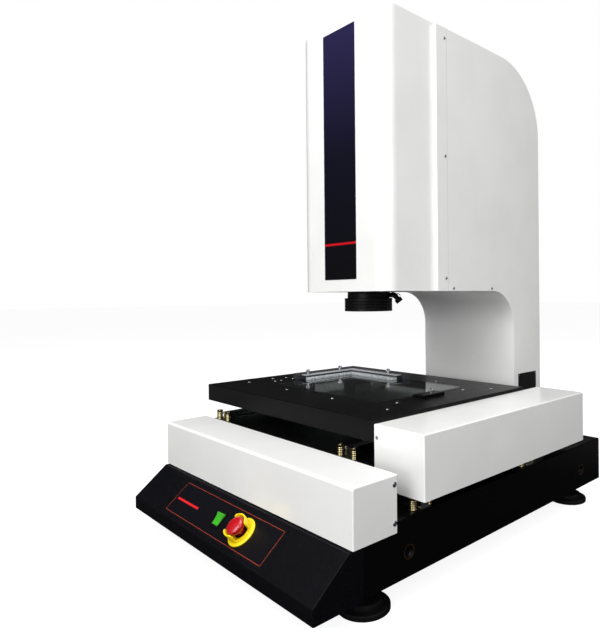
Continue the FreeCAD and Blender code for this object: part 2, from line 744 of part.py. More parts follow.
# Console sheet housing with its panel, rocker switch and stop button
def build_console():
    half = base_w / 2

    def profile(t):
        half_turn = math.radians(slope_angle / 2)
        return [(t, console_low + t), (t, lip_top - t * math.tan(math.pi / 4 - half_turn)),
                (slope_run + t * math.tan(half_turn), console_top - t),
                (console_d, console_top - t), (console_d, console_low + t)]

    shell = prism([(-half, y, z) for y, z in profile(0)], (base_w, 0, 0))
    shell = round_edges(shell, console_round, V(1, 0, 0), lambda c: c.y < 1 or abs(c.y - slope_run) < 1)
    shell = shell.makeFillet(console_edge_r, [e for e in shell.Edges if abs(abs(e.CenterOfMass.x) - half) < 1e-6
                                              and e.CenterOfMass.y < console_d - 1])
    outline = profile(console_t)
    cavity = prism([(-half + console_t, y, z) for y, z in outline], (base_w - 2 * console_t, 0, 0))
    shell = shell.cut(cavity)
    well_x = rocker_w / 2 + slide_gap + well_t
    well_y = rocker_len / 2 + slide_gap + well_t
    rocker_hole = box(-well_x, well_x, -well_y, well_y, -8, 8)
    stop_hole = rod(stop_neck_r + fit_gap, (0, 0, -8), (0, 0, 8))
    for hole, x, up in ((rocker_hole, rocker_x, rocker_up), (stop_hole, stop_x, stop_up)):
        shell = shell.cut(on_slope(hole, x, up))
    save("console_shell", shell)

    sheet_panel = box(-panel_w / 2, panel_w / 2, -panel_len / 2, panel_len / 2, 0, panel_t)
    sheet_panel = on_slope(sheet_panel, panel_x, panel_up)
    for hole, x, up in ((rocker_hole, rocker_x, rocker_up), (stop_hole, stop_x, stop_up)):
        sheet_panel = sheet_panel.cut(on_slope(hole, x, up))
    save("panel_overlay", sheet_panel)

    face = panel_t
    rim = box(-bezel_w / 2, bezel_w / 2, -bezel_len / 2, bezel_len / 2, face, face + bezel_h)
    rim = round_edges(rim, 2, V(0, 0, 1), lambda c: True)
    well = box(-well_x, well_x, -well_y, well_y, -rocker_deep, face)
    opening = box(-well_x + well_t, well_x - well_t, -well_y + well_t, well_y - well_t,
                  -rocker_deep + 2, face + bezel_h)
    frame = rim.fuse(well).removeSplitter().cut(opening)
    pin_end = rocker_w / 2 + 1.4
    pin = rod(rocker_pin_r, (-pin_end, 0, face), (pin_end, 0, face))
    frame = frame.cut(rod(rocker_pin_r + run_gap, (-pin_end - 0.2, 0, face), (pin_end + 0.2, 0, face)))
    save("rocker_bezel", on_slope(frame, rocker_x, rocker_up))

    drum = rod(rocker_len / 2, (-rocker_w / 2, 0, face), (rocker_w / 2, 0, face))
    reach = rocker_len / 2
    high = face + rocker_rise
    side = [(-reach, face - 3.5), (reach, face - 3.5), (reach, high), (0, high - rocker_dip), (-reach, high)]
    key = drum.common(prism([(-rocker_w / 2, y, z) for y, z in side], (rocker_w, 0, 0)))
    key.rotate(V(0, 0, face), V(1, 0, 0), rocker_tilt)
    save("rocker", on_slope(key.fuse(pin).removeSplitter(), rocker_x, rocker_up))

    flange = rod(stop_flange_r, (0, 0, face), (0, 0, face + stop_flange_h))
    flange = flange.makeChamfer(1, [e for e in flange.Edges if abs(e.CenterOfMass.z - face - stop_flange_h) < 1e-6])
    low_wall = rod(stop_wall_r, (0, 0, face), (0, 0, face + stop_wall_low))
    guard = join([flange, low_wall, wall_arc(stop_wall_r, stop_wall_t, face, face + stop_wall_high, 25, 120),
                  wall_arc(stop_wall_r, stop_wall_t, face, face + stop_wall_high, 205, 95)])
    well_r = stop_wall_r - stop_wall_t
    guard = guard.cut(rod(well_r, (0, 0, face + stop_flange_h), (0, 0, face + stop_wall_high + 1)))
    guard = guard.cut(rod(stop_neck_r + fit_gap, (0, 0, face - 1), (0, 0, face + stop_wall_low)))
    save("stop_guard", on_slope(guard, stop_x, stop_up))

    collar = rod(stop_neck_r, (0, 0, -stop_body_deep), (0, 0, face + stop_flange_h + 2))
    contacts = box(-15, 15, -15, 15, -stop_body_deep, -4)
    body = join([collar, contacts]).cut(rod(stem_r + run_gap, (0, 0, -stop_push - 6), (0, 0, face + 6)))
    save("stop_body", on_slope(body, stop_x, stop_up))

    low = face + mushroom_low
    rim = rod(mushroom_r, (0, 0, low), (0, 0, low + mushroom_edge))
    cap_r = (mushroom_r ** 2 + mushroom_dome ** 2) / (2 * mushroom_dome)
    ball = Part.makeSphere(cap_r, V(0, 0, low + mushroom_edge + mushroom_dome - cap_r))
    dome = ball.common(rod(mushroom_r, (0, 0, low + mushroom_edge), (0, 0, low + mushroom_edge + mushroom_dome)))
    neck = rod(mushroom_r - 4, (0, 0, low - 4), (0, 0, low))
    stem = rod(stem_r, (0, 0, -0.5), (0, 0, low))
    save("stop_button", on_slope(join([rim, dome, neck, stem]), stop_x, stop_up))

    floor = console_low + console_t
    under, top = floor + board_up, floor + board_up + board_t
    x0, y0 = board_x - board_w / 2, console_d - board_in - board_d
    x1, y1 = x0 + board_w, y0 + board_d
    board = box(x0, x1, y0, y1, under, top)
    posts = [rod(board_post_r, (x, y, floor), (x, y, under))
             for x in (x0 + 2 * board_post_r, x1 - 2 * board_post_r)
             for y in (y0 + 2 * board_post_r, y1 - 2 * board_post_r)]
    supply = box(x0 + board_w / 6, x0 + board_w * 5 / 12, y0 + board_d / 5, y1 - board_d / 5, top, top + supply_h)
    driver = box(x0 + board_w * 7 / 12, x0 + board_w * 19 / 24, y0 + board_d / 4, y1 - board_d / 4,
                 top, top + driver_h)
    save("control_board", join([board, supply, driver] + posts))


# The side outline of the column cover, moved inwards by t where it is a wall.
def cover_outline(t, low, front):
    arch_y, arch_z = column_front - arch_r, head_low - arch_r
    r_arch, r_brow = arch_r + t, brow_r - t
    brow_y = column_rear - brow_r
    top = head_top - t
    corner = math.radians(45)

    def at(y, z):
        return V(0, y, z)

    arch_mid = at(arch_y + r_arch * math.cos(corner), arch_z + r_arch * math.sin(corner))
    brow_mid = at(brow_y + r_brow * math.cos(corner), brow_z + r_brow * math.sin(corner))
    brow_top = at(brow_y, top)
    edges = [
        Part.makeLine(at(column_front + t, low), at(column_front + t, arch_z)),
        Part.Arc(at(column_front + t, arch_z), arch_mid, at(arch_y, head_low + t)).toShape(),
        Part.makeLine(at(arch_y, head_low + t), at(front, head_low + t)),
        Part.makeLine(at(front, head_low + t), at(front, top)),
        Part.makeLine(at(front, top), brow_top),
        Part.Arc(brow_top, brow_mid, at(column_rear - t, brow_z)).toShape(),
        Part.makeLine(at(column_rear - t, brow_z), at(column_rear - t, low)),
        Part.makeLine(at(column_rear - t, low), at(column_front + t, low)),
    ]
    return Part.Face(Part.Wire(edges))


def slab_of(face, half):
    piece = face.extrude(V(2 * half, 0, 0))
    piece.translate(V(-half, 0, 0))
    return piece


# The inlet's rectangular body, grown by a gap all round, between two depths.
def inlet_block(grow, y0, y1):
    half_w, half_h = inlet_w / 2 - inlet_rim + grow, inlet_h / 2 - inlet_rim + grow
    return box(-half_w, half_w, y0, y1, inlet_z - half_h, inlet_z + half_h)


# Column casting and the white covers of column and head
def build_column():
    y0, y1 = column_front + casting_gap, column_rear - casting_gap
    solid = slab_of(cover_outline(casting_gap, base_top, casting_front), casting_half)
    solid = solid.common(box(-casting_half, casting_half, casting_front, y1, base_top, casting_top))
    w = casting_wall
    hollow = [box(-casting_half + w, casting_half - w, y0 + w, y1 - w, base_top + w, brow_z - 3 * w),
              box(-casting_half + w, casting_half - w, casting_front + w, y0 + w + 1,
                  head_low + arch_r, casting_top - w)]
    for space in hollow + [inlet_block(slide_gap, y1 - w - 1, y1 + 1)]:
        solid = solid.cut(space)
    save("column_casting", solid)

    outline = cover_outline(0, base_top, head_rear)
    cheeks = []
    for x in (-column_half, column_half - sheet):
        cheek = outline.extrude(V(sheet, 0, 0))
        cheek.translate(V(x, 0, 0))
        cheeks.append(cheek)
    band = slab_of(outline, column_half - sheet)
    inside = slab_of(cover_outline(sheet, base_top, head_rear + mouth_wall), column_half)
    mouth = box(-head_half + sheet, head_half - sheet, head_rear - 1, head_rear + mouth_wall + 1,
                head_low + sheet, head_top - sheet)
    inlet_hole = inlet_block(0, column_rear - sheet - 1, column_rear + 1)
    band = band.cut(inside).cut(mouth).cut(inlet_hole)
    under = box(-column_half, column_half, head_rear, column_rear - sheet, base_top, head_low + sheet)
    save("column_cover", *cheeks, band.common(under), band.cut(under))

    top = head_top + head_over
    outer = box(-head_half, head_half, head_front, head_rear, head_low, top)
    outer = round_edges(outer, head_round, V(0, 0, 1), lambda c: c.y < head_front + 1)
    top_rims = [e for e in outer.Edges if abs(e.CenterOfMass.z - top) < 1e-6
                and e.CenterOfMass.y < head_rear - 1]
    outer = outer.makeFillet(bend_r, top_rims)

    def inside(high, back):
        space = box(-head_half + sheet, head_half - sheet, head_front + sheet, back, head_low, high)
        return round_edges(space, head_round - sheet, V(0, 0, 1), lambda c: c.y < head_front + sheet + 1)

    floor = inside(head_low + sheet, head_rear)
    save("head_floor", floor.cut(rod(lens_port_r, (0, axis_y, head_low), (0, axis_y, head_low + sheet))))
    inner = inside(top - sheet, head_rear + 1)
    y0, y1 = head_rear - cover_tongue, head_rear + cover_tongue
    tongue = box(-head_half + sheet, head_half - sheet, y0, y1, head_low + sheet, head_top - sheet)
    tongue = tongue.cut(box(-head_half + 2 * sheet, head_half - 2 * sheet, y0, y1,
                            head_low + 2 * sheet, head_top - 2 * sheet))
    lip = box(-head_half + sheet, head_half - sheet, head_rear - sheet, head_rear, head_top - 2 * sheet, top - sheet)
    save("head_cover", outer.cut(inner).fuse([tongue, lip]).removeSplitter())

    save("head_label", box(-label_w / 2, label_w / 2, head_front - label_t, head_front,
                           head_low + label_up, head_top - label_down))
    y0, z0 = column_front + plate_in, base_top + plate_up
    save("rating_plate", box(column_half, column_half + plate_t, y0, y0 + plate_len, z0, z0 + plate_tall))

    heads = []
    for side in (-1, 1):
        face = side * column_half
        seam = head_rear + seam_in
        for y, z in ((seam, head_top - seam_top), (seam, (head_low + head_top) / 2 + seam_mid),
                     (seam, head_low + seam_low), (seam + under_first, head_low + under_up),
                     (seam + under_last, head_low + under_up)):
            heads.append(screw_head((face, y, z), (side, 0, 0), cover_screw_r, cover_screw_h))
        face = side * (base_w / 2 + sheet)
        for z in (x_cover_top - end_screw_down, x_cover_bottom + end_screw_up):
            heads.append(screw_head((face, x_cover_rear - 6, z), (side, 0, 0), end_screw_r, cover_screw_h))
    save("cover_screws", *heads)

    flange = box(-inlet_w / 2, inlet_w / 2, column_rear, column_rear + inlet_flange,
                 inlet_z - inlet_h / 2, inlet_z + inlet_h / 2)
    body = inlet_block(0, column_rear - inlet_deep, column_rear)
    cavity = inlet_block(-3, column_rear - 16, column_rear + inlet_flange)
    save("power_inlet", flange.fuse(body).removeSplitter().cut(cavity))


# Z slide with its drive, camera, zoom lens and ring light
def build_head():
    def on_casting(piece, x, z):
        piece.rotate(V(0, 0, 0), V(0, 1, 0), -90)
        piece.rotate(V(0, 0, 0), V(0, 0, 1), 90)
        piece.translate(V(x, casting_front, z))
        return piece

    sides = (-z_rail_gauge / 2, z_rail_gauge / 2)
    save("z_rails", *[on_casting(rail(z_rail_high - z_rail_low), x, z_rail_low) for x in sides])
    plate_back = casting_front - block_h
    plate_front_y = plate_back - z_plate_t
    levels = (z_block_low, z_block_high)
    save("z_carriages", *[on_casting(block(), x, z) for x in sides for z in levels])

    y = z_screw_y
    plate = box(-z_plate_half, z_plate_half, plate_front_y, plate_back, z_plate_low, z_plate_high)
    nut = box(-nut_w / 2, nut_w / 2, plate_back, y + 12, z_nut_at - nut_len / 2, z_nut_at + nut_len / 2)
    half, arm_low = arm_w / 2, lens_body_low + arm_up
    arm_high = arm_low + arm_tall
    carriage_low = min(arm_low, z_plate_low)
    arm = box(-half, half, axis_y, plate_front_y, arm_low, arm_high)
    brace = box(-half, half, axis_y + clamp_ring_r - 8, plate_front_y, arm_low, arm_high + arm_brace)
    ring = rod(clamp_ring_r, (0, axis_y, arm_low), (0, axis_y, arm_high))
    carriage = join([plate, nut, arm, brace, ring])
    web = box(-half, half, plate_front_y, plate_back, carriage_low, z_plate_high)
    carriage = carriage.fuse(web).removeSplitter()
    carriage = carriage.cut(rod(lens_body_r, (0, axis_y, arm_low - 1), (0, axis_y, z_plate_high)))
    carriage = carriage.cut(rod(screw_r + run_gap, (0, y, carriage_low - 1), (0, y, z_plate_high)))
    save("z_carriage", carriage)

    motor_face = casting_top + mount_t
    save("z_motor", motor((0, y, motor_face), (0, 0, -1), (0, 1, 0)))
    screw_top = motor_face - coupling_len - 4
    shaft = join([rod(screw_r, (0, y, z_bearing_low), (0, y, screw_top)),
                  rod(coupling_r, (0, y, screw_top + 1), (0, y, screw_top + 1 + coupling_len)),
                  rod(motor_shaft_r, (0, y, screw_top), (0, y, motor_face + shaft_in - 2))])
    save("z_screw", shaft)
    bearing = box(-bearing_w / 2, bearing_w / 2, y - 12, casting_front, z_bearing_low, z_bearing_low + bearing_t)
    bearing = bearing.cut(rod(screw_r + run_gap, (0, y, z_bearing_low), (0, y, z_bearing_low + bearing_t)))
    mount = box(-motor_w / 2, motor_w / 2, y - motor_w / 2, y + motor_w, casting_top, casting_top + mount_t)
    mount = mount.cut(rod(motor_boss_r + fit_gap, (0, y, casting_top), (0, y, casting_top + mount_t)))
    save("z_drive_supports", bearing, mount)

    def on_axis(r, z0, z1):
        return rod(r, (0, axis_y, z0), (0, axis_y, z1))

    lens = join([on_axis(lens_r, lens_low, lens_body_low), on_axis(lens_body_r, lens_body_low, lens_body_high)])
    lens = lens.cut(on_axis(lens_r - 5, lens_low, lens_low + 6))
    lens = lens.cut(on_axis(lens_body_r, zoom_ring_low, zoom_ring_low + zoom_ring_len)
                    .cut(on_axis(lens_body_r - 4, zoom_ring_low, zoom_ring_low + zoom_ring_len)))
    save("zoom_lens", lens)
    zoom = on_axis(zoom_ring_r, zoom_ring_low + 0.3, zoom_ring_low + zoom_ring_len - 0.3)
    save("zoom_ring", zoom.cut(on_axis(lens_body_r - 4 + run_gap, zoom_ring_low, zoom_ring_low + zoom_ring_len)))
    cam = box(-camera_w / 2, camera_w / 2, axis_y - camera_w / 2, axis_y + camera_w / 2,
              lens_body_high, lens_body_high + camera_h)
    fins = cam
    for i in range(5):
        z = lens_body_high + 16 + 10 * i
        ring_cut = box(-camera_w / 2 - 1, camera_w / 2 + 1, axis_y - camera_w / 2 - 1, axis_y + camera_w / 2 + 1, z, z + 4)
        keep = box(-camera_w / 2 + 3, camera_w / 2 - 3, axis_y - camera_w / 2 + 3, axis_y + camera_w / 2 - 3, z, z + 4)
        fins = fins.cut(ring_cut.cut(keep))
    save("camera", fins)

    top = ring_low + ring_h
    light = join([on_axis(ring_r, ring_low, top), on_axis(collar_r, top, top + collar_h)])
    light = light.cut(on_axis(lens_r, ring_low, top + collar_h))
    light = light.cut(on_axis(ring_window_r, ring_low, ring_low + 6))
    save("ring_light", light)
    diag = math.sqrt(0.5)
    mid = top + collar_h / 2

    def out(along, down):
        return V(along * diag, axis_y + along * diag, mid - down)

    stub = rod(6.0, tuple(out(collar_r - 4, 0)), tuple(out(plug_out, 0)))
    stub = stub.cut(rod(collar_r, (0, axis_y, top), (0, axis_y, top + collar_h)))
    elbow = Part.makeSphere(6.0, out(plug_out, 0))
    body = rod(plug_r, tuple(out(plug_out, 0)), tuple(out(plug_out + 14, 18)))
    tip = rod(plug_r + 2.5, tuple(out(plug_out + 10, 12.86)), tuple(out(plug_out + 15, 19.28)))
    save("light_plug", join([stub, elbow, body, tip]))


build_base()
build_slides()
build_backlight()
build_table()
build_x_drive()
build_y_drive()
build_console()
build_column()
build_head()
print("frame", frame_x, frame_y, "table top", table_top_z, "skirt", skirt_low, "stage front", stage_front)
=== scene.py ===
import json
import math

import bmesh
import bpy
import numpy as np
from mathutils import Matrix, Vector


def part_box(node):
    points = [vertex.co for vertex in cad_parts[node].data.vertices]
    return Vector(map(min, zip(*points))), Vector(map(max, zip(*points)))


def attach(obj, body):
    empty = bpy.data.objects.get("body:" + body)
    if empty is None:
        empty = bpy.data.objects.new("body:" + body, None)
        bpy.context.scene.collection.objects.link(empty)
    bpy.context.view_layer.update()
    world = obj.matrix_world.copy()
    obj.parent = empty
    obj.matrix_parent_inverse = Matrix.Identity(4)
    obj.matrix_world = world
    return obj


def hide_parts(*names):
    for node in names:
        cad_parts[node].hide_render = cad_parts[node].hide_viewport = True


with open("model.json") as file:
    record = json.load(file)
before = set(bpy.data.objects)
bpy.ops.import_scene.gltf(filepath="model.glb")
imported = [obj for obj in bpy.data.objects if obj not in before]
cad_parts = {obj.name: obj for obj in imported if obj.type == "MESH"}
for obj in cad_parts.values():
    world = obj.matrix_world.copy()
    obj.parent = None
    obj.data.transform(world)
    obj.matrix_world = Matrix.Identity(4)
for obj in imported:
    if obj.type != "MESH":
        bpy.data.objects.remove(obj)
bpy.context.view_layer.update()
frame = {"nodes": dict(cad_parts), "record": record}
print("frame loaded:", len(frame["nodes"]), "nodes")


# Colours and materials

def toLinear(hexCode):
    # sRGB hex to linear light
    values = [int(hexCode[i:i + 2], 16) / 255 for i in (0, 2, 4)]
    return tuple(v / 12.92 if v <= 0.04045 else ((v + 0.055) / 1.055) ** 2.4 for v in values) + (1.0,)


def addNode(tree, kind, settings=None, links=None):
    # settings: input name or property to value; links: input name to an output socket
    node = tree.nodes.new(kind)
    for key, value in (settings or {}).items():
        if isinstance(key, int) or key in node.inputs:
            node.inputs[key].default_value = value
        else:
            setattr(node, key, value)
    for key, socket in (links or {}).items():
        tree.links.new(socket, node.inputs[key])
    return node


def startMaterial(name, surface):
    # a material with one Principled shader, its own sockets set to the constants
    material = bpy.data.materials.new(name)
    material.use_nodes = True
    tree = material.node_tree
    shader = next(n for n in tree.nodes if n.type == "BSDF_PRINCIPLED")
    for key, value in surface.items():
        shader.inputs[key].default_value = value
    return material, tree, shader


def objectPoints(tree, scale=(1.0, 1.0, 1.0)):
    where = addNode(tree, "ShaderNodeTexCoord")
    return addNode(tree, "ShaderNodeMapping", {"Scale": scale}, {"Vector": where.outputs["Object"]}).outputs["Vector"]


def addBump(tree, shader, height, strength, distance):
    bump = addNode(tree, "ShaderNodeBump", {"Strength": strength, "Distance": distance}, {"Height": height})
    tree.links.new(bump.outputs["Normal"], shader.inputs["Normal"])


def rampBetween(tree, factor, stops):
    # stops: (position, hex) pairs; returns the colour
    ramp = addNode(tree, "ShaderNodeValToRGB", None, {"Fac": factor})
    elements = ramp.color_ramp.elements
    while len(elements) < len(stops):
        elements.new(0.5)
    for element, (position, code) in zip(elements, stops):
        element.position = position
        element.color = toLinear(code)
    return ramp.outputs["Color"]


def remap(tree, value, low, high):
    # 0 to 1 becomes low to high
    return addNode(tree, "ShaderNodeMapRange", {"To Min": low, "To Max": high}, {"Value": value}).outputs["Result"]


def noise(tree, points, size, detail=2.0, roughness=0.5):
    # size is the grain in metres
    return addNode(tree, "ShaderNodeTexNoise", {"Scale": 1.0 / size, "Detail": detail, "Roughness": roughness},
                   {"Vector": points}).outputs["Fac"]


def blackGranite():
    # lapped black granite: deep black, mirror-fine finish with grey feldspar specks about 1.5 mm across
    material, tree, shader = startMaterial("blackGranite", {"Roughness": 0.22, "IOR": 1.54, "Specular IOR Level": 0.08})
    points = objectPoints(tree)
    grain = noise(tree, points, 0.0016, 4.0, 0.65)
    colour = rampBetween(tree, grain, [(0.42, "050505"), (0.60, "080809"), (0.74, "1e1f22")])
    tree.links.new(colour, shader.inputs["Base Color"])
    tree.links.new(remap(tree, noise(tree, points, 0.03), 0.18, 0.3), shader.inputs["Roughness"])
    return material


def whitePowderCoat():
    # gloss white powder coat on folded steel: soft reflections broken by a faint orange peel of about 2 mm
    material, tree, shader = startMaterial("whitePowderCoat", {
        "Base Color": toLinear("f4f4f3"), "Roughness": 0.28, "IOR": 1.5, "Coat Weight": 0.5, "Coat Roughness": 0.08})
    points = objectPoints(tree)
    addBump(tree, shader, noise(tree, points, 0.0022, 2.0), 0.05, 0.0004)
    tint = rampBetween(tree, noise(tree, points, 0.12, 3.0), [(0.35, "f1f1f0"), (0.65, "f6f6f5")])
    tree.links.new(tint, shader.inputs["Base Color"])
    return material


def blackTexturedCoat():
    # black sand-texture powder coat: bumps of about 0.7 mm, and flakes in 1.4 mm cells, coarser than real so they show
    material, tree, shader = startMaterial("blackTexturedCoat", {
        "Roughness": 0.42, "IOR": 1.5, "Specular IOR Level": 0.1})
    points = objectPoints(tree)
    flakes = addNode(tree, "ShaderNodeTexVoronoi", {"Scale": 1 / 0.0014}, {"Vector": points})
    colour = rampBetween(tree, flakes.outputs["Distance"], [(0.0, "666b80"), (0.16, "0c0c12"), (0.6, "060608")])
    tree.links.new(colour, shader.inputs["Base Color"])
    addBump(tree, shader, noise(tree, points, 0.0007, 3.0, 0.6), 0.35, 0.0003)
    return material


def anodisedMetal(name, dark, light, rough, grain=0.0008, metallic=0.5):
    # bead-blasted then anodised aluminium: an even satin with a very fine grain
    material, tree, shader = startMaterial(name, {"Metallic": metallic, "Roughness": rough, "Specular IOR Level": 0.15})
    points = objectPoints(tree)
    fine = noise(tree, points, grain, 3.0, 0.6)
    tree.links.new(rampBetween(tree, fine, [(0.35, dark), (0.7, light)]), shader.inputs["Base Color"])
    tree.links.new(remap(tree, noise(tree, points, 0.02), rough - 0.04, rough + 0.06), shader.inputs["Roughness"])
    addBump(tree, shader, fine, 0.12, 0.0001)
    return material


def metalFinish(name, dark, light, rough, stretch=(1.0, 1.0, 1.0), grain=0.0006, bump=0.06):
    # bare or plated metal: streaks of tool marks along one way, from a stretched noise
    material, tree, shader = startMaterial(name, {"Metallic": 1.0, "Roughness": rough})
    points = objectPoints(tree, stretch)
    streak = noise(tree, points, grain, 3.0, 0.6)
    tree.links.new(rampBetween(tree, streak, [(0.3, dark), (0.7, light)]), shader.inputs["Base Color"])
    tree.links.new(remap(tree, streak, rough - 0.07, rough + 0.08), shader.inputs["Roughness"])
    addBump(tree, shader, streak, bump, 0.0001)
    return material


def mouldedPlastic(name, code, rough, coat=0.0, grain=0.0009, bump=0.1, extra=None):
    # injection moulded plastic: even colour, faint spark-eroded grain
    surface = {"Base Color": toLinear(code), "Roughness": rough, "IOR": 1.48, "Coat Weight": coat}
    surface.update(extra or {})
    material, tree, shader = startMaterial(name, surface)
    points = objectPoints(tree)
    tree.links.new(remap(tree, noise(tree, points, 0.008), rough - 0.03, rough + 0.05), shader.inputs["Roughness"])
    addBump(tree, shader, noise(tree, points, grain, 2.0), bump, 0.0001)
    return material


def steppedMotor(name, axis, low, high):
    # stepper motor: black enamelled laminations between two bare die-cast ends; low and high bound the laminations
    material, tree, shader = startMaterial(name, {"Roughness": 0.38, "IOR": 1.5})
    points = objectPoints(tree)
    split = addNode(tree, "ShaderNodeSeparateXYZ", None, {"Vector": points})
    above = addNode(tree, "ShaderNodeMath", {"operation": "GREATER_THAN", 1: low}, {0: split.outputs[axis]})
    below = addNode(tree, "ShaderNodeMath", {"operation": "LESS_THAN", 1: high}, {0: split.outputs[axis]})
    stack = addNode(tree, "ShaderNodeMath", {"operation": "MULTIPLY"}, {0: above.outputs[0], 1: below.outputs[0]})
    tree.links.new(rampBetween(tree, stack.outputs[0], [(0.4, "a2a4a7"), (0.6, "101012")]), shader.inputs["Base Color"])
    tree.links.new(remap(tree, stack.outputs[0], 1.0, 0.0), shader.inputs["Metallic"])
    layers = addNode(tree, "ShaderNodeMath", {"operation": "MULTIPLY", 1: 2 * math.pi / 0.001},
                     {0: split.outputs[axis]})
    ripple = addNode(tree, "ShaderNodeMath", {"operation": "SINE"}, {0: layers.outputs[0]})
    addBump(tree, shader, ripple.outputs[0], 0.2, 0.0001)
    return material


def footRubber():
    # moulded nitrile rubber: dull black with pale dust in patches
    material, tree, shader = startMaterial("footRubber", {"Roughness": 0.6, "IOR": 1.5, "Specular IOR Level": 0.15})
    points = objectPoints(tree)
    dust = noise(tree, points, 0.012, 4.0, 0.6)
    tree.links.new(rampBetween(tree, dust, [(0.45, "080809"), (0.8, "191817")]), shader.inputs["Base Color"])
    addBump(tree, shader, noise(tree, points, 0.001, 2.0), 0.2, 0.0002)
    return material


def floatGlass():
    # clear float glass with a green cast through its ground edges
    material, tree, shader = startMaterial("floatGlass", {
        "Base Color": toLinear("e4efec"), "Roughness": 0.03, "IOR": 1.52, "Transmission Weight": 1.0,
        "Specular IOR Level": 0.3})
    points = objectPoints(tree)
    tree.links.new(remap(tree, noise(tree, points, 0.06, 3.0), 0.02, 0.06), shader.inputs["Roughness"])
    return material


def clearAcrylic():
    # milled acrylic: clear body, frosted where the cutter went
    material, tree, shader = startMaterial("clearAcrylic", {
        "Base Color": toLinear("e6eaee"), "Roughness": 0.25, "IOR": 1.49, "Transmission Weight": 0.45})
    points = objectPoints(tree)
    tree.links.new(remap(tree, noise(tree, points, 0.004), 0.18, 0.38), shader.inputs["Roughness"])
    return material


def printedFilm():
    # screen-printed polyester on the head: dark navy at the top fading to black, one red line across
    material, tree, shader = startMaterial("printedFilm", {"Roughness": 0.3, "IOR": 1.5, "Specular IOR Level": 0.2})
    low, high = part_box("head_label")
    where = addNode(tree, "ShaderNodeTexCoord")
    axis = addNode(tree, "ShaderNodeSeparateXYZ", None, {"Vector": where.outputs["Object"]})
    level = addNode(tree, "ShaderNodeMapRange", {"From Min": low[2], "From Max": high[2]}, {"Value": axis.outputs["Z"]})
    span = high[2] - low[2]
    red = (labelPrint["redAt"] - low[2]) / span
    half = labelPrint["redWidth"] / 2 / span
    stops = [(0.0, "08080c"), (red - half, "0a0a10"), (red - half + 0.0004, "d0121c"), (red + half, "d0121c"),
             (red + half + 0.0004, "0a0a12"), (0.5, "0d0c1c"), (0.8, "1c1838"), (1.0, "231f45")]
    tree.links.new(rampBetween(tree, level.outputs["Result"], stops), shader.inputs["Base Color"])
    addBump(tree, shader, noise(tree, objectPoints(tree), 0.0012), 0.04, 0.0001)
    return material


labelPrint = {"redAt": 0.585, "redWidth": 0.005}

mats = {
    "granite": blackGranite(),
    "white_paint": whitePowderCoat(),
    "black_paint": blackTexturedCoat(),
    "black_anodised": anodisedMetal("blackAnodisedAluminium", "040404", "0c0c0d", 0.36, metallic=0.0),
    "dark_bar": anodisedMetal("greyAnodisedAluminium", "3c3d40", "5a5b5f", 0.42),
    "rail_steel": metalFinish("groundRailSteel", "9a9c9e", "c9cbcc", 0.22, (1.0, 14.0, 14.0)),
    "block_steel": metalFinish("groundBlockSteel", "6d7073", "9a9da0", 0.3, (1.0, 10.0, 10.0)),
    "bright_steel": metalFinish("nickelPlatedSteel", "b9babb", "dadbdc", 0.16),
    "brass": metalFinish("paleBrass", "a8986a", "cdbf94", 0.15),
    "zinc_steel": metalFinish("zincPlatedSteel", "6f6f70", "a7a6a2", 0.35),
    "foot_rubber": footRubber(),
    "cast_metal": mouldedPlastic("primedCasting", "5c5f62", 0.6, grain=0.002, bump=0.4),
    "plain_aluminium": metalFinish("milledAluminium", "9fa1a4", "c4c6c8", 0.33, (12.0, 1.0, 1.0)),
    "motor_black": mouldedPlastic("motorEnamel", "111113", 0.35, coat=0.3),
    "glass": floatGlass(),
    "clear_plastic": clearAcrylic(),
    "overlay_film": mouldedPlastic("panelFilm", "09090f", 0.4, grain=0.0006, bump=0.12, extra={
        "Specular IOR Level": 0.15}),
    "label_film": printedFilm(),
    "black_plastic": mouldedPlastic("blackNylon", "0a0a0b", 0.42, extra={"Specular IOR Level": 0.2}),
    # green rocker plastic; its faint green emission is a painted glow
    "green_plastic": mouldedPlastic("greenPolycarbonatePaintedGlow", "3fae28", 0.22, coat=0.5, extra={
        "Transmission Weight": 0.15, "Emission Color": toLinear("48c02c"), "Emission Strength": 0.06}),
    "yellow_plastic": mouldedPlastic("yellowPolyamide", "f2d40c", 0.33, coat=0.2),
    "red_plastic": mouldedPlastic("redPolyamide", "b00e1a", 0.22, coat=0.6),
    "board": mouldedPlastic("solderMask", "0f4a2a", 0.35, coat=0.3),
    "blank_plate": anodisedMetal("blackNamePlate", "0b0b0c", "161618", 0.33),
}
orangeInk = mouldedPlastic("orangeInk", "b0452a", 0.4)
# dark grey on the stop frame's toothed ledge wall: painted shade standing in for the gaps between the teeth
paintedGapShade = mouldedPlastic("paintedGapShadeAcrylic", "24262a", 0.3)
frostedCap = mouldedPlastic("frostedAcrylic", "a4a6aa", 0.45)
redInk = mouldedPlastic("redInk", "cf1a22", 0.4)
whiteLens = mouldedPlastic("frostedLens", "f3f5f2", 0.3, extra={
    "Emission Color": (1, 1, 1, 1), "Emission Strength": 0.3})
darkSteel = metalFinish("blackenedSteel", "17171a", "2c2c30", 0.35)
screwSteel = metalFinish("machineScrewSteel", "80818a", "b4b5bd", 0.24)
bronzeRim = metalFinish("bronzeRim", "9a6a46", "d09a66", 0.3)
seamShade = mouldedPlastic("seamShade", "a9a9a9", 0.6)
lampResin = mouldedPlastic("lampResin", "f4efc8", 0.15, coat=0.5)
lensGlass = mouldedPlastic("coatedLensGlass", "0a0c18", 0.04, coat=0.8, bump=0.0)

for entry in frame["record"]["subparts"]:
    material = mats[entry["material_slot"]]
    node = frame["nodes"][entry["node"]]
    for place in node.material_slots:
        place.material = material
    if not node.material_slots:
        node.data.materials.append(material)
for node, axis in (("x_motor", 0), ("y_motor", 1), ("z_motor", 2)):
    low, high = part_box(node)
    finish = steppedMotor("enamelled" + node[0].upper() + "Motor", "XYZ"[axis], low[axis] + 0.012, high[axis] - 0.014)
    for place in frame["nodes"][node].material_slots:
        place.material = finish
print("materials made:", len(mats))


# Mesh helpers

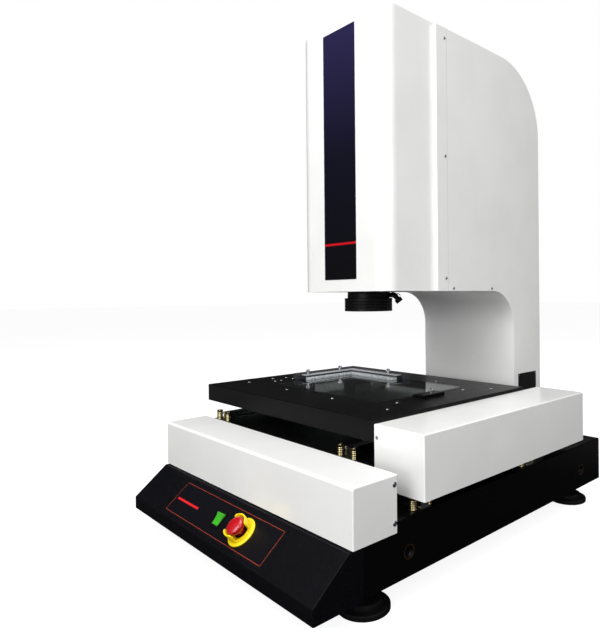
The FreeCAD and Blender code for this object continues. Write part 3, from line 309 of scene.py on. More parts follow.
def gridFaces(rows, columns, wrapRows, wrapColumns, offset):
    # quads of a rows x columns grid of points, joined round where a way wraps
    i = np.arange(rows if wrapRows else rows - 1)
    j = np.arange(columns if wrapColumns else columns - 1)
    i, j = np.meshgrid(i, j, indexing="ij")
    i2, j2 = (i + 1) % rows, (j + 1) % columns
    quads = np.stack([i * columns + j, i * columns + j2, i2 * columns + j2, i2 * columns + j], axis=-1)
    return quads.reshape(-1, 4) + offset


def makePiece(name, grids, finish, body, replacing=(), sharpAt=40.0):
    # grids: (points[rows, columns, 3], wrapRows, wrapColumns); all become one mesh, merged and turned outwards
    # finish: a slot's name, or a material of its own with a slot's name, which is not used
    material, slotName = (mats[finish], finish) if isinstance(finish, str) else finish
    points, faces, offset = [], [], 0
    for surface, wrapRows, wrapColumns in grids:
        rows, columns = surface.shape[:2]
        points.append(surface.reshape(-1, 3))
        faces.append(gridFaces(rows, columns, wrapRows, wrapColumns, offset))
        offset += rows * columns
    mesh = bpy.data.meshes.new(name)
    mesh.from_pydata(np.concatenate(points).tolist(), [], np.concatenate(faces).tolist())
    work = bmesh.new()
    work.from_mesh(mesh)
    bmesh.ops.remove_doubles(work, verts=work.verts, dist=1e-6)
    bmesh.ops.dissolve_degenerate(work, edges=work.edges, dist=1e-7)
    bmesh.ops.recalc_face_normals(work, faces=work.faces)
    work.to_mesh(mesh)
    work.free()
    mesh.shade_smooth()
    mesh.set_sharp_from_angle(angle=math.radians(sharpAt))
    mesh.materials.append(material)
    piece = bpy.data.objects.new(name, mesh)
    bpy.context.scene.collection.objects.link(piece)
    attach(piece, body)
    if replacing:
        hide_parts(*replacing)
    return piece


def turned(profile, segments=48):
    # a turned shape: profile points (r, z) carried round the Z axis
    profile = np.array(profile, float)
    angle = np.linspace(0, 2 * np.pi, segments, endpoint=False)
    r, z = profile[:, :1], profile[:, 1:]
    surface = np.stack([r * np.cos(angle), r * np.sin(angle), np.broadcast_to(z, (len(profile), segments))], axis=-1)
    return surface, False, True


def turnedRing(profile, segments=48):
    # a turned ring: its profile closes on itself, clear of the axis
    return turned(profile, segments)[0], True, True


def withEnds(surface):
    # a swept surface whose section wraps, with each end closed on its middle
    ends = [np.stack([np.broadcast_to(edge.mean(axis=0), edge.shape), edge]) for edge in (surface[0], surface[-1])]
    return [(part, False, True) for part in [surface] + ends]


def moved(grid, matrix):
    surface, wrapRows, wrapColumns = grid
    m = np.array(matrix)
    return surface @ m[:3, :3].T + m[:3, 3], wrapRows, wrapColumns


def at(x, y, z):
    return Matrix.Translation((x, y, z))


def roundedCorner(r, z, radius, steps=4):
    # quarter circle from the side at (r, z - radius) to the top at (r - radius, z)
    t = np.linspace(0, np.pi / 2, steps + 1)
    return [(r - radius + radius * math.cos(a), z - radius + radius * math.sin(a)) for a in t]


# Levelling feet: rubber disc, stepped steel, nut and stud
footShape = {"padRadius": 0.042, "padHeight": 0.009, "stepRadius": 0.030, "stepTop": 0.017, "edge": 0.002,
             "studRadius": 0.008, "pitch": 0.002, "nutRadius": 0.013, "nutLow": 0.028, "nutTop": 0.038}


def threadedBar(radius, pitch, depth, low, high, segments=32, perTurn=10):
    # a screw surface: r falls by a cosine groove whose phase is z / pitch less the turn's angle
    rows = int((high - low) / pitch * perTurn) + 1
    z = np.linspace(low, high, rows)[:, None]
    angle = np.linspace(0, 2 * np.pi, segments, endpoint=False)[None, :]
    groove = 0.5 - 0.5 * np.cos(2 * np.pi * (z / pitch) - angle)
    r = radius - depth * groove
    surface = np.stack([r * np.cos(angle), r * np.sin(angle), np.broadcast_to(z, r.shape)], axis=-1)
    caps = [np.concatenate([np.zeros((1, segments, 3)) + [0, 0, high], surface[-1:]]),
            np.concatenate([np.zeros((1, segments, 3)) + [0, 0, low], surface[:1]])]
    return [(surface, False, True)] + [(cap, False, True) for cap in caps]


def hexNut(radius, low, high, chamfer=0.0012):
    # a hexagon prism whose corners are cut back by a cone: r is the least of hexagon and cone
    angle = np.linspace(0, 2 * np.pi, 72, endpoint=False)
    side = radius * math.cos(math.pi / 6) / np.cos((angle + np.pi / 6) % (np.pi / 3) - np.pi / 6)
    levels = [(low, 0), (low, radius - chamfer), (low + chamfer * 0.6, radius), (high - chamfer * 0.6, radius),
              (high, radius - chamfer), (high, 0)]
    rows = [np.stack([np.minimum(side, limit) * np.cos(angle), np.minimum(side, limit) * np.sin(angle),
                      np.full(72, z)], axis=-1) for z, limit in levels]
    return np.stack(rows), False, True


def makeFeet():
    f = footShape
    pad = [(0, 0), (f["padRadius"] - 0.001, 0), (f["padRadius"], 0.001)]
    pad += roundedCorner(f["padRadius"], f["padHeight"], f["edge"]) + [(f["stepRadius"], f["padHeight"])]
    pad += roundedCorner(f["stepRadius"], f["stepTop"], f["edge"]) + [(0, f["stepTop"])]
    for name in ("front_left", "front_right", "rear_left", "rear_right"):
        low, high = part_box("foot_" + name)
        spot = at((low[0] + high[0]) / 2, (low[1] + high[1]) / 2, 0)
        makePiece("footPad_" + name, [moved(turned(pad, 72), spot)], "foot_rubber", "pad_" + name, ["foot_" + name])
        stud = threadedBar(f["studRadius"], f["pitch"], 0.0009, f["stepTop"] - 0.001, high[2])
        makePiece("footStud_" + name, [moved(g, spot) for g in stud], "zinc_steel", "pad_" + name)
        nut = hexNut(f["nutRadius"], f["nutLow"], f["nutTop"])
        makePiece("footNut_" + name, [moved(nut, spot)], "zinc_steel", "pad_" + name)


makeFeet()
print("feet made")


# Console panel: printed outline and red bar, on the slope
panelPrint = {"left": -0.170, "right": 0.160, "low": 0.011, "high": 0.072, "line": 0.0006, "corner": 0.002,
              "barLeft": -0.161, "barRight": -0.0805, "barAt": 0.0387, "barHeight": 0.004, "lift": 0.00056}
slope = {"run": 0.065, "rise": 0.053, "lip": 0.063}


def slopeFrame():
    # X stays, Y runs up the slope and Z stands out of it; the start is the lip's top edge at the machine's middle
    low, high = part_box("console_shell")
    angle = math.atan2(slope["rise"], slope["run"])
    return at((low[0] + high[0]) / 2, low[1], slope["lip"]) @ Matrix.Rotation(angle, 4, "X")


def roundedRing(x0, x1, y0, y1, radius, line, steps=5):
    # outline of a rectangle with rounded corners, as an outer and an inner loop
    centres = [(x1 - radius, y1 - radius, 0), (x0 + radius, y1 - radius, 1), (x0 + radius, y0 + radius, 2),
               (x1 - radius, y0 + radius, 3)]
    t = np.linspace(0, np.pi / 2, steps)
    loops = []
    for r in (radius, radius - line):
        parts = [np.stack([cx + r * np.cos(t + k * np.pi / 2), cy + r * np.sin(t + k * np.pi / 2)], axis=-1)
                 for cx, cy, k in centres]
        loops.append(np.concatenate(parts))
    return loops


def lifted(loop, z):
    # a flat loop of (x, y) points set at height z
    return np.concatenate([loop, np.full((len(loop), 1), z)], axis=1)


def flatBand(outer, inner, low, high):
    # a thin closed band between two loops, from height low to high
    rows = np.stack([lifted(outer, low), lifted(outer, high), lifted(inner, high), lifted(inner, low)])
    return rows, True, True


def makePanelPrint():
    p = panelPrint
    frameOf = slopeFrame()
    outer, inner = roundedRing(p["left"], p["right"], p["low"], p["high"], p["corner"], p["line"])
    makePiece("panelOutline", [moved(flatBand(outer, inner, p["lift"] - 0.0001, p["lift"]), frameOf)],
              (orangeInk, "overlay_film"), "frame")
    mid = p["barAt"]
    outer, inner = roundedRing(p["barLeft"], p["barRight"], mid - p["barHeight"] / 2, mid + p["barHeight"] / 2,
                               0.0003, 0.0)
    centre = np.broadcast_to(np.mean(outer, axis=0), outer.shape)
    low, high = p["lift"] - 0.0001, p["lift"]
    rows = np.stack([lifted(centre, low), lifted(outer, low), lifted(outer, high), lifted(centre, high)])
    makePiece("panelRedBar", [moved((rows, False, True), frameOf)], (redInk, "overlay_film"), "frame")


makePanelPrint()
print("panel printed")


# Machine millimetres, counted from the middle plane, the console's lip and the floor, to the frame's metres
cadOrigin = (0.02485, -0.43275, 0.0)
alongX = Matrix.Rotation(math.pi / 2, 4, "Y")
alongMinusX = Matrix.Rotation(-math.pi / 2, 4, "Y")
alongY = Matrix.Rotation(-math.pi / 2, 4, "X")
alongMinusY = Matrix.Rotation(math.pi / 2, 4, "X")


def spot(x, y, z, turn=Matrix()):
    place = Vector((x / 1000, y / 1000, z / 1000)) + Vector(cadOrigin)
    return Matrix.Translation(place) @ turn @ Matrix.Scale(0.001, 4)


def onSlope(x, up, height=0.0, tilt=0.0):
    # a place on the console's slope, in millimetres
    return (slopeFrame() @ at(x / 1000, up / 1000, height / 1000) @ Matrix.Rotation(tilt, 4, "X")
            @ Matrix.Scale(0.001, 4))


def loopRow(radius, z, segments):
    # one closed row of points at height z; the radius may be a number or one value for each point
    angle = np.linspace(0, 2 * np.pi, segments, endpoint=False)
    r = np.broadcast_to(radius, (segments,))
    return np.stack([r * np.cos(angle), r * np.sin(angle), np.full(segments, z)], axis=-1)


def hexRadius(flat, segments):
    # distance from the middle to a hexagon's side, by angle; flat is the distance to the middle of a side
    angle = np.linspace(0, 2 * np.pi, segments, endpoint=False)
    return flat / np.cos((angle + np.pi / 6) % (np.pi / 3) - np.pi / 6)


def socketHead(radius, height, hexFlat, deep, dome=0.35, knurl=0.0, segments=36, low=0.0):
    # a turned head whose top edge is a quarter ellipse, with a hexagon socket; knurl adds fine grooves
    angle = np.linspace(0, 2 * np.pi, segments, endpoint=False)
    outer = radius - knurl * (0.5 + 0.5 * np.cos(angle * segments / 2))
    top = low + height
    rows = [loopRow(0, low, segments), loopRow(outer, low, segments)]
    t = np.linspace(0, np.pi / 2, 5)
    for a in t:
        inset = radius * dome * (1 - math.cos(a))
        rows.append(loopRow(outer - inset, top - height * min(dome * 1.6, 0.8) * (1 - math.sin(a)), segments))
    socket = hexRadius(hexFlat, segments)
    rows += [loopRow(socket, top, segments), loopRow(socket, top - deep, segments), loopRow(0, top - deep, segments)]
    return np.stack(rows), False, True


def roundedBlock(width, depth, height, corner, edge, steps=4):
    # an upright block about the origin: rounded rectangles drawn in at both ends by a quarter-circle edge
    def loop(inset, z):
        half = (width / 2 - inset, depth / 2 - inset)
        outer, _ = roundedRing(-half[0], half[0], -half[1], half[1], max(corner - inset, 0.05), 0.0, steps)
        return lifted(outer, z)

    t = np.linspace(0, np.pi / 2, 4)
    rows = [loop(edge * (1 - math.sin(a)), edge * (1 - math.cos(a))) for a in t]
    rows += [loop(edge * (1 - math.cos(a)), height - edge * (1 - math.sin(a))) for a in t]
    rows = [np.zeros_like(rows[0]) + [0, 0, 0]] + rows + [np.zeros_like(rows[0]) + [0, 0, height]]
    return np.stack(rows), False, True


# Rail end posts: ribbed pale brass sleeve with a dark socket screw sunk in its rim
postShape = {"radius": 6.8, "top": 20.5, "ribs": 5, "ribDepth": 0.7, "sunk": 5.1, "floor": 18.0, "headRadius": 4.6,
             "xRows": (390 - 160, 390 + 160), "xAlong": (-287, 287), "xSide": 18.6, "base": 135.0,
             "yRows": (-300.5, 136.5), "yAlong": (205.8, 718.2), "ySide": 18.6, "saddleTop": 190.0}


def makePosts():
    p = postShape
    t = np.linspace(0, 1, p["ribs"] * 6 + 1)
    r, top = p["radius"], p["top"]
    ribs = [(r - p["ribDepth"] * (0.5 - 0.5 * math.cos(2 * math.pi * p["ribs"] * k)), 1.2 + 16.0 * k) for k in t]
    rim = [(r, top - 0.4), (r - 0.4, top), (p["sunk"] + 0.3, top), (p["sunk"], top - 0.3), (p["sunk"], p["floor"])]
    sleeve = [(0, 0), (r - 0.4, 0), (r, 0.5)] + ribs + rim + [(0, p["floor"])]
    xPlaces = [(x, y + side * p["xSide"], p["base"]) for y in p["xRows"] for x in p["xAlong"] for side in (-1, 1)]
    yPlaces = [(x + side * p["ySide"], y, p["saddleTop"]) for x in p["yRows"] for y in p["yAlong"] for side in (-1, 1)]
    for name, places, body, node in (("xPost", xPlaces, "frame", "x_rail_stops"),
                                     ("yPost", yPlaces, "saddle", "y_rail_stops")):
        makePiece(name + "Sleeves", [moved(turned(sleeve, 32), spot(*q)) for q in places], "brass", body, [node])
        head = socketHead(p["headRadius"], 2.1, 2.0, 1.7, 0.2, segments=24, low=p["floor"])
        caps = [moved(head, spot(*q)) for q in places]
        makePiece(name + "Caps", caps, (darkSteel, "bright_steel"), body)


# Small screws: where each sits, its way out and its size
screwShape = {"coverRadius": 3.2, "coverHeight": 1.6, "tableRadius": 4.0, "tableHeight": 0.8,
              "seam": 483.0, "seamLevels": (1021.0, 771.5, 513.0), "underAt": (508.0, 650.0), "underLevel": 491.5,
              "coverSide": 142.0, "xCoverSide": 302.5, "xCoverAt": 155.0, "xCoverLevels": (192.5, 133.5),
              "endRadius": 4.4,
              "yCoverX": 215.4, "yCoverEnds": (203.3, 733.7), "yCoverLevel": 239.0}


def makeSmallScrews():
    q = screwShape
    head = socketHead(q["coverRadius"], q["coverHeight"], 1.25, 0.9, 0.6, segments=24)
    large = socketHead(q["endRadius"], q["coverHeight"], 1.5, 0.9, 0.6, segments=24)
    grids = []
    for side, turn in ((1, alongX), (-1, alongMinusX)):
        spots = [(q["seam"], z) for z in q["seamLevels"]] + [(y, q["underLevel"]) for y in q["underAt"]]
        grids += [moved(head, spot(side * q["coverSide"], y, z, turn)) for y, z in spots]
        grids += [moved(large, spot(side * q["xCoverSide"], q["xCoverAt"], z, turn)) for z in q["xCoverLevels"]]
    makePiece("coverScrewHeads", grids, (screwSteel, "bright_steel"), "frame", ["cover_screws"])
    ends = [moved(head, spot(q["yCoverX"], y, q["yCoverLevel"], turn))
            for y, turn in zip(q["yCoverEnds"], (alongMinusY, alongY))]
    makePiece("yCoverScrewHeads", ends, (screwSteel, "bright_steel"), "saddle", ["y_cover_screws"])
    flat = socketHead(q["tableRadius"], q["tableHeight"], 1.5, 0.6, 0.45, segments=24)
    stage = [(-322, 286.3), (-162, 286.3), (-2, 286.3), (158, 286.3), (6, 608.3), (166, 608.3), (127.5, 344.3),
             (129.5, 553.3), (-330.5, 361.3), (-322.5, 396.3), (-294.5, 398.3), (-289.5, 359.3), (-288.5, 340.3)]
    makePiece("tableScrewHeads", [moved(flat, spot(x, y, 266.6)) for x, y in stage], "bright_steel",
              "table", ["table_screws"])


makePosts()
makeSmallScrews()
print("posts and small screws made")


# Corner stop frame: grey outer bar, toothed ledge under a pale cap, ribbed step and standing screws; the teeth and
# ribs are drawn coarser than real, as fine ones wouldn't show
stopFrame = {"left": -289.1, "back": 599.9, "armX": 219.0, "armY": 204.0, "short": 12.0, "level": 266.6,
             "bar": 20.0, "barHeight": 14.0, "ledge": 38.0, "ledgeHeight": 11.0, "step": 51.0, "stepHeight": 5.5,
             "pitch": 4.4, "toothPitch": 7.0,
             "capHeight": 1.4, "stations": 205, "tooth": 0.9, "edge": 0.7, "clampScrew": (126.0, 449.0, 273.1)}


def cornerSweep(section, stations, ripple=None, pitch=1.0):
    # carries a closed section of (distance in from the outer edge, height) along the L's two arms, mitred at its
    # corner; ripple moves chosen section points in and out by a cosine of the length along the arm
    f = stopFrame
    section = np.array(section, float)
    d, z = section[:, 0][:, None], section[:, 1][:, None]
    short = f["short"] if ripple is not None else 0.0
    yEnd, xEnd = f["back"] - f["armY"] + short, f["left"] + f["armX"] - short
    t = np.linspace(0, 1, stations)[None, :]
    lengthY, lengthX = f["back"] - f["ledge"] - yEnd, xEnd - f["left"] - f["ledge"]
    waveY = np.cos(2 * np.pi * t * round(lengthY / pitch))
    waveX = np.cos(2 * np.pi * t * round(lengthX / pitch))
    move = np.zeros_like(d) if ripple is None else np.array(ripple, float)[:, None]
    dY, dX = d + move * waveY, d + move * waveX
    armY = np.stack([f["left"] + dY, yEnd + t * (f["back"] - d - yEnd), z + 0 * t], axis=-1)
    armX = np.stack([f["left"] + d + t * (xEnd - f["left"] - d), f["back"] - dX, z + 0 * t], axis=-1)
    return withEnds(np.transpose(np.concatenate([armY, armX[:, 1:]], axis=1), (1, 0, 2)))


def makeStopFrame():
    f = stopFrame
    e, w = f["edge"], f["bar"]
    high = f["barHeight"]
    bar = [(0, 0), (0, high - e), (e, high), (w - e, high), (w, high - e), (w, 0)]
    place = spot(0, 0, f["level"])
    makePiece("stopFrameBarPiece", [moved(g, place) for g in cornerSweep(bar, 2)], "dark_bar",
              "table", ["stop_frame_bar"], 25)
    a, b, h, k = f["ledge"], f["step"], f["ledgeHeight"], f["stepHeight"]
    t, c = f["tooth"], f["capHeight"]
    tiers = [
        # the ledge is coloured dark grey as painted shade between its teeth
        ("stopFrameLedge", [(w + 0.05, 0), (w + 0.05, h - c), (a - 0.4, h - c), (a - 0.4, 0)], [0, 0, -t, -t],
         f["toothPitch"], paintedGapShade, ["stop_frame"]),
        ("stopFrameCap", [(w + 0.05, h - c), (w + 0.05, h), (a - e, h), (a, h - e), (a, h - c)], [0, 0, -0.3, -t, -t],
         f["toothPitch"], frostedCap, []),
        ("stopFrameStep", [(a - 0.3, 0), (a - 0.3, k), (b - 2.4, k), (b - e, k), (b, k - e), (b, 0)],
         [0, 0, -0.3, -t, -t, -t], f["pitch"], mats["clear_plastic"], [])]
    for name, section, ripple, pitch, material, nodes in tiers:
        grids = [moved(g, place) for g in cornerSweep(section, f["stations"], ripple, pitch)]
        makePiece(name, grids, (material, "clear_plastic"), "table", nodes, 35)
    shank = [(0, 0), (3.0, 0), (3.0, 6.0), (0, 6.0)]
    mid, level = (w + a) / 2, f["level"] + h
    places = [(f["left"] + mid, f["back"] - 179, level), (f["left"] + mid, f["back"] - 72, level),
              (f["left"] + 168.5, f["back"] - mid, level)]
    grids = [moved(turned(shank, 24), spot(*q)) for q in places]
    clampShank = [(0, 0), (3.0, 0), (3.0, 3.5), (0, 3.5)]
    grids.append(moved(turned(clampShank, 24), spot(*f["clampScrew"])))
    makePiece("standingShanks", grids, "bright_steel", "table", ["cap_screws"])
    head = socketHead(5.0, 6.0, 2.0, 2.6, 0.12, 0.35, 72)
    heads = [moved(head, spot(q[0], q[1], q[2] + 6.0)) for q in places]
    x, y, z = f["clampScrew"]
    heads.append(moved(socketHead(5.0, 5.0, 2.0, 2.2, 0.12, 0.35, 72), spot(x, y, z + 3.5)))
    makePiece("standingHeads", heads, (screwSteel, "bright_steel"), "table")


makeStopFrame()
print("stop frame made")


# Stop button: yellow flange and guard, red mushroom head
stopShape = {"x": 72.0, "up": 40.0, "face": 0.5, "flange": 26.0, "wall": 21.0, "wallIn": 18.5, "lowWall": 7.5,
             "highWall": 23.5, "arcs": ((25, 145), (218, 300)), "tipRound": 4.5, "neck": 11.3,
             "head": 16.2, "headLow": 15.5, "headTop": 26.5, "grips": 14, "gripDepth": 0.3}


def guardWall(start, stop):
    # a ring wall's section carried between two angles; its top falls by a quarter circle towards both tips
    g = stopShape
    angle = np.radians(np.linspace(start, stop, 49))
    reach = g["wall"] * np.minimum(angle - angle[0], angle[-1] - angle)
    short = np.clip(g["tipRound"] - reach, 0, g["tipRound"])
    drop = g["tipRound"] - np.sqrt(g["tipRound"] ** 2 - short ** 2)
    out, within, foot = g["wall"], g["wallIn"], g["face"] + 3
    rounded = [(out, foot, 0), (out, -0.9, 1), (out - 0.35, -0.3, 1), (out - 1.25, 0, 1), (within + 0.35, -0.3, 1),
               (within, -0.9, 1), (within, foot, 0)]
    columns = []
    for r, z, fromTop in rounded:
        height = (g["highWall"] - drop + z) if fromTop else np.full_like(angle, z)
        columns.append(np.stack([r * np.cos(angle), r * np.sin(angle), height], axis=-1))
    return withEnds(np.transpose(np.stack(columns), (1, 0, 2)))


def makeStopButton():
    g = stopShape
    place = onSlope(g["x"], g["up"])
    f = g["face"]
    neck, rim, out, within, low = g["neck"], g["flange"], g["wall"], g["wallIn"], g["lowWall"]
    ring = [(neck, f), (rim - 0.6, f), (rim, f + 0.5), (rim, f + 1.6), (rim - 0.3, f + 2.2), (rim - 1.0, f + 2.5),
            (out + 0.6, f + 2.5), (out + 0.1, f + 2.9), (out, f + 3.4), (out, low - 0.6), (out - 0.4, low),
            (within + 0.4, low), (within, low - 0.4), (within, f + 2.9), (within - 0.4, f + 2.5), (neck, f + 2.5)]
    grids = [turnedRing(ring, 96)] + [part for arc in g["arcs"] for part in guardWall(*arc)]
    makePiece("stopGuardRing", [moved(x, place) for x in grids], "yellow_plastic", "frame", ["stop_guard"], 50)
    segments = 112
    angle = np.linspace(0, 2 * np.pi, segments, endpoint=False)
    grip = g["gripDepth"] * (0.5 - 0.5 * np.cos(g["grips"] * angle)) ** 4
    low, top, r = g["headLow"], g["headTop"], g["head"]
    profile = [(0, -0.5, 0), (8, -0.5, 0), (8, low - 4, 0), (11.4, low - 3.8, 0), (12.2, low - 3.2, 0),
               (12.4, low - 0.8, 0), (13.2, low - 0.1, 0), (r - 0.5, low, 0.3), (r, low + 0.6, 1), (r, low + 5.2, 1),
               (r - 0.25, low + 6.4, 0.8), (r - 0.9, low + 7.3, 0.4), (r - 2.0, low + 8.0, 0.1)]
    profile += [(14.0 * k, top - 2.4 * k ** 2.2, 0) for k in (0.95, 0.8, 0.6, 0.4, 0.2, 0)]
    rows = np.stack([loopRow(radius - grip * share, z, segments) for radius, z, share in profile])
    makePiece("stopMushroomHead", [moved((rows, False, True), place)], "red_plastic",
              "stop_mushroom", ["stop_button"], 50)


# Rocker key: its profile is a drum cut by a shallow hollow, drawn in a little at both flat ends
keyShape = {"x": -4.0, "up": 40.5, "face": 0.5, "half": 9.5, "drum": 11.2, "rise": 4.3, "dip": 1.4, "under": -3.5,
            "tilt": 16.0, "edge": 0.6}


def makeRocker():
    k = keyShape
    y = np.linspace(-10.2, 10.2, 15)
    top = np.stack([y, k["rise"] - k["dip"] * (1 - (y / 10.2) ** 2)], axis=-1)
    fall = np.linspace(math.asin(k["rise"] / k["drum"]) - 0.03, math.asin(k["under"] / k["drum"]), 6)
    right = np.stack([k["drum"] * np.cos(fall), k["drum"] * np.sin(fall)], axis=-1)
    left = right[::-1] * [-1, 1]
    outline = np.concatenate([top, right, left])
    middle = np.array([0, 0.5])
    rows = []
    for x, share in ((-k["half"], 0.0), (-k["half"], 0.95), (-k["half"] + 0.2, 0.985), (-k["half"] + k["edge"], 1.0),
                     (k["half"] - k["edge"], 1.0), (k["half"] - 0.2, 0.985), (k["half"], 0.95), (k["half"], 0.0)):
        ring = middle + (outline - middle) * share
        rows.append(np.concatenate([np.full((len(ring), 1), x), ring], axis=1))
    place = onSlope(k["x"], k["up"], k["face"], math.radians(k["tilt"]))
    makePiece("rockerKey", [moved((np.stack(rows), False, True), place)], "green_plastic",
              "power_key", ["rocker"], 45)


makeStopButton()
makeRocker()
print("console controls made")


# Ring light: finned body, collar, white window with its lamps, and the angled plug
ringShape = {"x": 0.0, "y": 390.0, "low": 444.0, "radius": 52.0, "height": 28.0, "fins": 6, "finDepth": 1.1,
             "collar": 45.5, "collarTop": 41.0, "bore": 22.0, "window": 40.0, "windowDeep": 6.0,
             "lampRings": ((27.0, 20), (32.0, 24), (37.0, 28)), "lampRadius": 1.7}


def makeRingLight():
    r = ringShape
    place = spot(r["x"], r["y"], r["low"])
    t = np.linspace(0, 1, r["fins"] * 8 + 1)
    grooves = [(r["radius"] - r["finDepth"] * (0.5 - 0.5 * math.cos(2 * math.pi * r["fins"] * k)) ** 3, 3.5 + 20 * k)
               for k in t]
    out, bore, window, collar, h, c = r["radius"], r["bore"], r["window"], r["collar"], r["height"], r["collarTop"]
    deep = r["windowDeep"]
    profile = [(bore, deep), (window, deep), (window, 0.6), (window + 0.6, 0), (out - 0.8, 0), (out, 0.8)] + grooves
    profile += [(out, h - 1.0), (out - 1.0, h), (collar, h), (collar, c - 3.4), (collar - 0.7, c - 3.0),
                (collar - 0.7, c - 2.0), (collar, c - 1.6), (collar, c - 0.6), (collar - 0.6, c), (bore, c)]
    makePiece("ringLightBody", [moved(turnedRing(profile, 96), place)], "black_plastic", "z_head", ["ring_light"], 30)
    board = [(bore, 4.6), (window, 4.6), (window, 5.98), (bore, 5.98)]
    makePiece("ringLightBoard", [moved(turnedRing(board, 72), place)], (whiteLens, "clear_plastic"), "z_head")
    lamp = r["lampRadius"]
    bead = [(0, 4.6), (lamp, 4.6), (lamp, 4.0), (lamp - 0.2, 3.4), (lamp - 0.8, 2.9), (0, 2.7)]
    beads = []
    for radius, count in r["lampRings"]:
        for k in range(count):
            a = 2 * math.pi * k / count
            beads.append(moved(turned(bead, 10), place @ at(radius * math.cos(a), radius * math.sin(a), 0)))
    makePiece("ringLightLamps", beads, (lampResin, "clear_plastic"), "z_head")


def tubeAlong(points, radii, segments=20):
    # circles carried along a path, each square to the path's direction; the first and last close on the axis
    points, radii = np.array(points, float), np.array(radii, float)
    ahead = np.gradient(points, axis=0)
    ahead /= np.linalg.norm(ahead, axis=1)[:, None]
    side = np.cross(ahead, [0.0, 0.0, 1.0])
    side /= np.linalg.norm(side, axis=1)[:, None]
    over = np.cross(side, ahead)
    angle = np.linspace(0, 2 * np.pi, segments, endpoint=False)
    ring = side[:, None] * np.cos(angle)[None, :, None] + over[:, None] * np.sin(angle)[None, :, None]
    rows = points[:, None] + ring * radii[:, None, None]
    caps = [np.broadcast_to(points[k], (1, segments, 3)) for k in (0, -1)]
    return np.concatenate([caps[0], rows, caps[1]]), False, True


def makeLightPlug():
    # out: along the diagonal away from the lens; the elbow is an arc from level to the plug's slant
    diagonal = np.array([math.sqrt(0.5), math.sqrt(0.5), 0.0])
    start = np.array([0.0, 390.0, 478.5])

    def out(along, down):
        return start + diagonal * along + np.array([0, 0, -down])

    arm = [out(along, 0) for along in (44.6, 47.0, 47.01, 51.0, 51.01, 54.0)]
    radii = [6.0, 6.0, 5.3, 5.3, 6.0, 6.0]
    bend = math.atan2(18, 14)
    for a in np.linspace(0, bend, 7)[1:]:
        arm.append(out(54.0 + 6.0 * math.sin(a), 6.0 * (1 - math.cos(a))))
        radii.append(5.8)
    last = arm[-1]
    way = diagonal * math.cos(bend) + np.array([0, 0, -math.sin(bend)])
    for along, radius in ((3.0, 5.4), (7.0, 5.4), (7.01, 7.6), (8.0, 8.0), (15.0, 8.0), (16.2, 7.4)):
        arm.append(last + way * along)
        radii.append(radius)
    place = spot(0, 0, 0)
    makePiece("lightPlugBody", [moved(tubeAlong(arm, radii, 28), place)], "black_plastic",
              "z_head", ["light_plug"], 35)
    turn = np.linspace(-0.35 * math.pi, 0.85 * math.pi, 25)
    middle = out(63.5, 3.5)
    bail = [middle + diagonal * 6.2 * math.cos(a) + np.array([0, 0, 6.2 * math.sin(a)]) for a in turn]
    makePiece("lightPlugBail", [moved(tubeAlong(bail, np.full(len(bail), 0.9), 12), place)], "black_plastic",
              "z_head")


makeRingLight()
makeLightPlug()
print("ring light made")


# Lifting inserts in the granite's sides: a thin bronze rim, a dark cone and a threaded bore
insertShape = {"rim": 11.5, "rimIn": 10.5, "bore": 6.0, "deep": 22.0, "level": 79.5, "along": (189.0, 763.0),
               "side": 300.0}


def makeInserts():
    n = insertShape
    rim = [(n["rimIn"], 0.0), (n["rim"], 0.0), (n["rim"], -3.0), (n["rimIn"], -3.0)]
    rows = int(n["deep"] / 1.75 * 6)
    z = np.linspace(-3.0, -n["deep"], rows)
    throat = [(n["rimIn"], -3.0), (n["rimIn"], -0.4), (9.8, -0.7), (n["bore"] + 0.6, -2.4), (n["bore"], -3.0)]
    cone, _, _ = turned(throat, 48)
    angle = np.linspace(0, 2 * np.pi, 48, endpoint=False)[None, :]
    r = n["bore"] + 0.45 * (0.5 - 0.5 * np.cos(2 * np.pi * z[:, None] / 1.75 - angle))
    thread = np.stack([r * np.cos(angle), r * np.sin(angle), np.broadcast_to(z[:, None], r.shape)], axis=-1)
    floor = np.stack([loopRow(n["bore"], -n["deep"], 48), loopRow(0, -n["deep"], 48)])
    rims, threads = [], []
    for side, turn in ((1, alongX), (-1, alongMinusX)):
        for y in n["along"]:
            place = spot(side * n["side"], y, n["level"], turn)
            rims.append(moved(turnedRing(rim), place))
            threads += [moved((part, False, True), place) for part in (cone, thread, floor)]
    makePiece("insertRims", rims, (bronzeRim, "zinc_steel"), "frame", ["lifting_inserts"])
    makePiece("insertThreads", threads, (darkSteel, "zinc_steel"), "frame")


# Bare rating plate's rivets, the inlet's pins, the side seams and the contour light's lens
smallShape = {"rivet": 1.3, "plate": ((764.0, 240.0), (838.0, 240.0), (838.0, 278.0), (764.0, 278.0)),
              "plateFace": 142.8,
              "pins": ((-7.0, 190.0), (7.0, 190.0), (0.0, 193.0)), "seamAt": 490.0, "seamWidth": 0.5,
              "seamLow": 486.5, "seamHigh": 1042.0, "lens": 34.0}


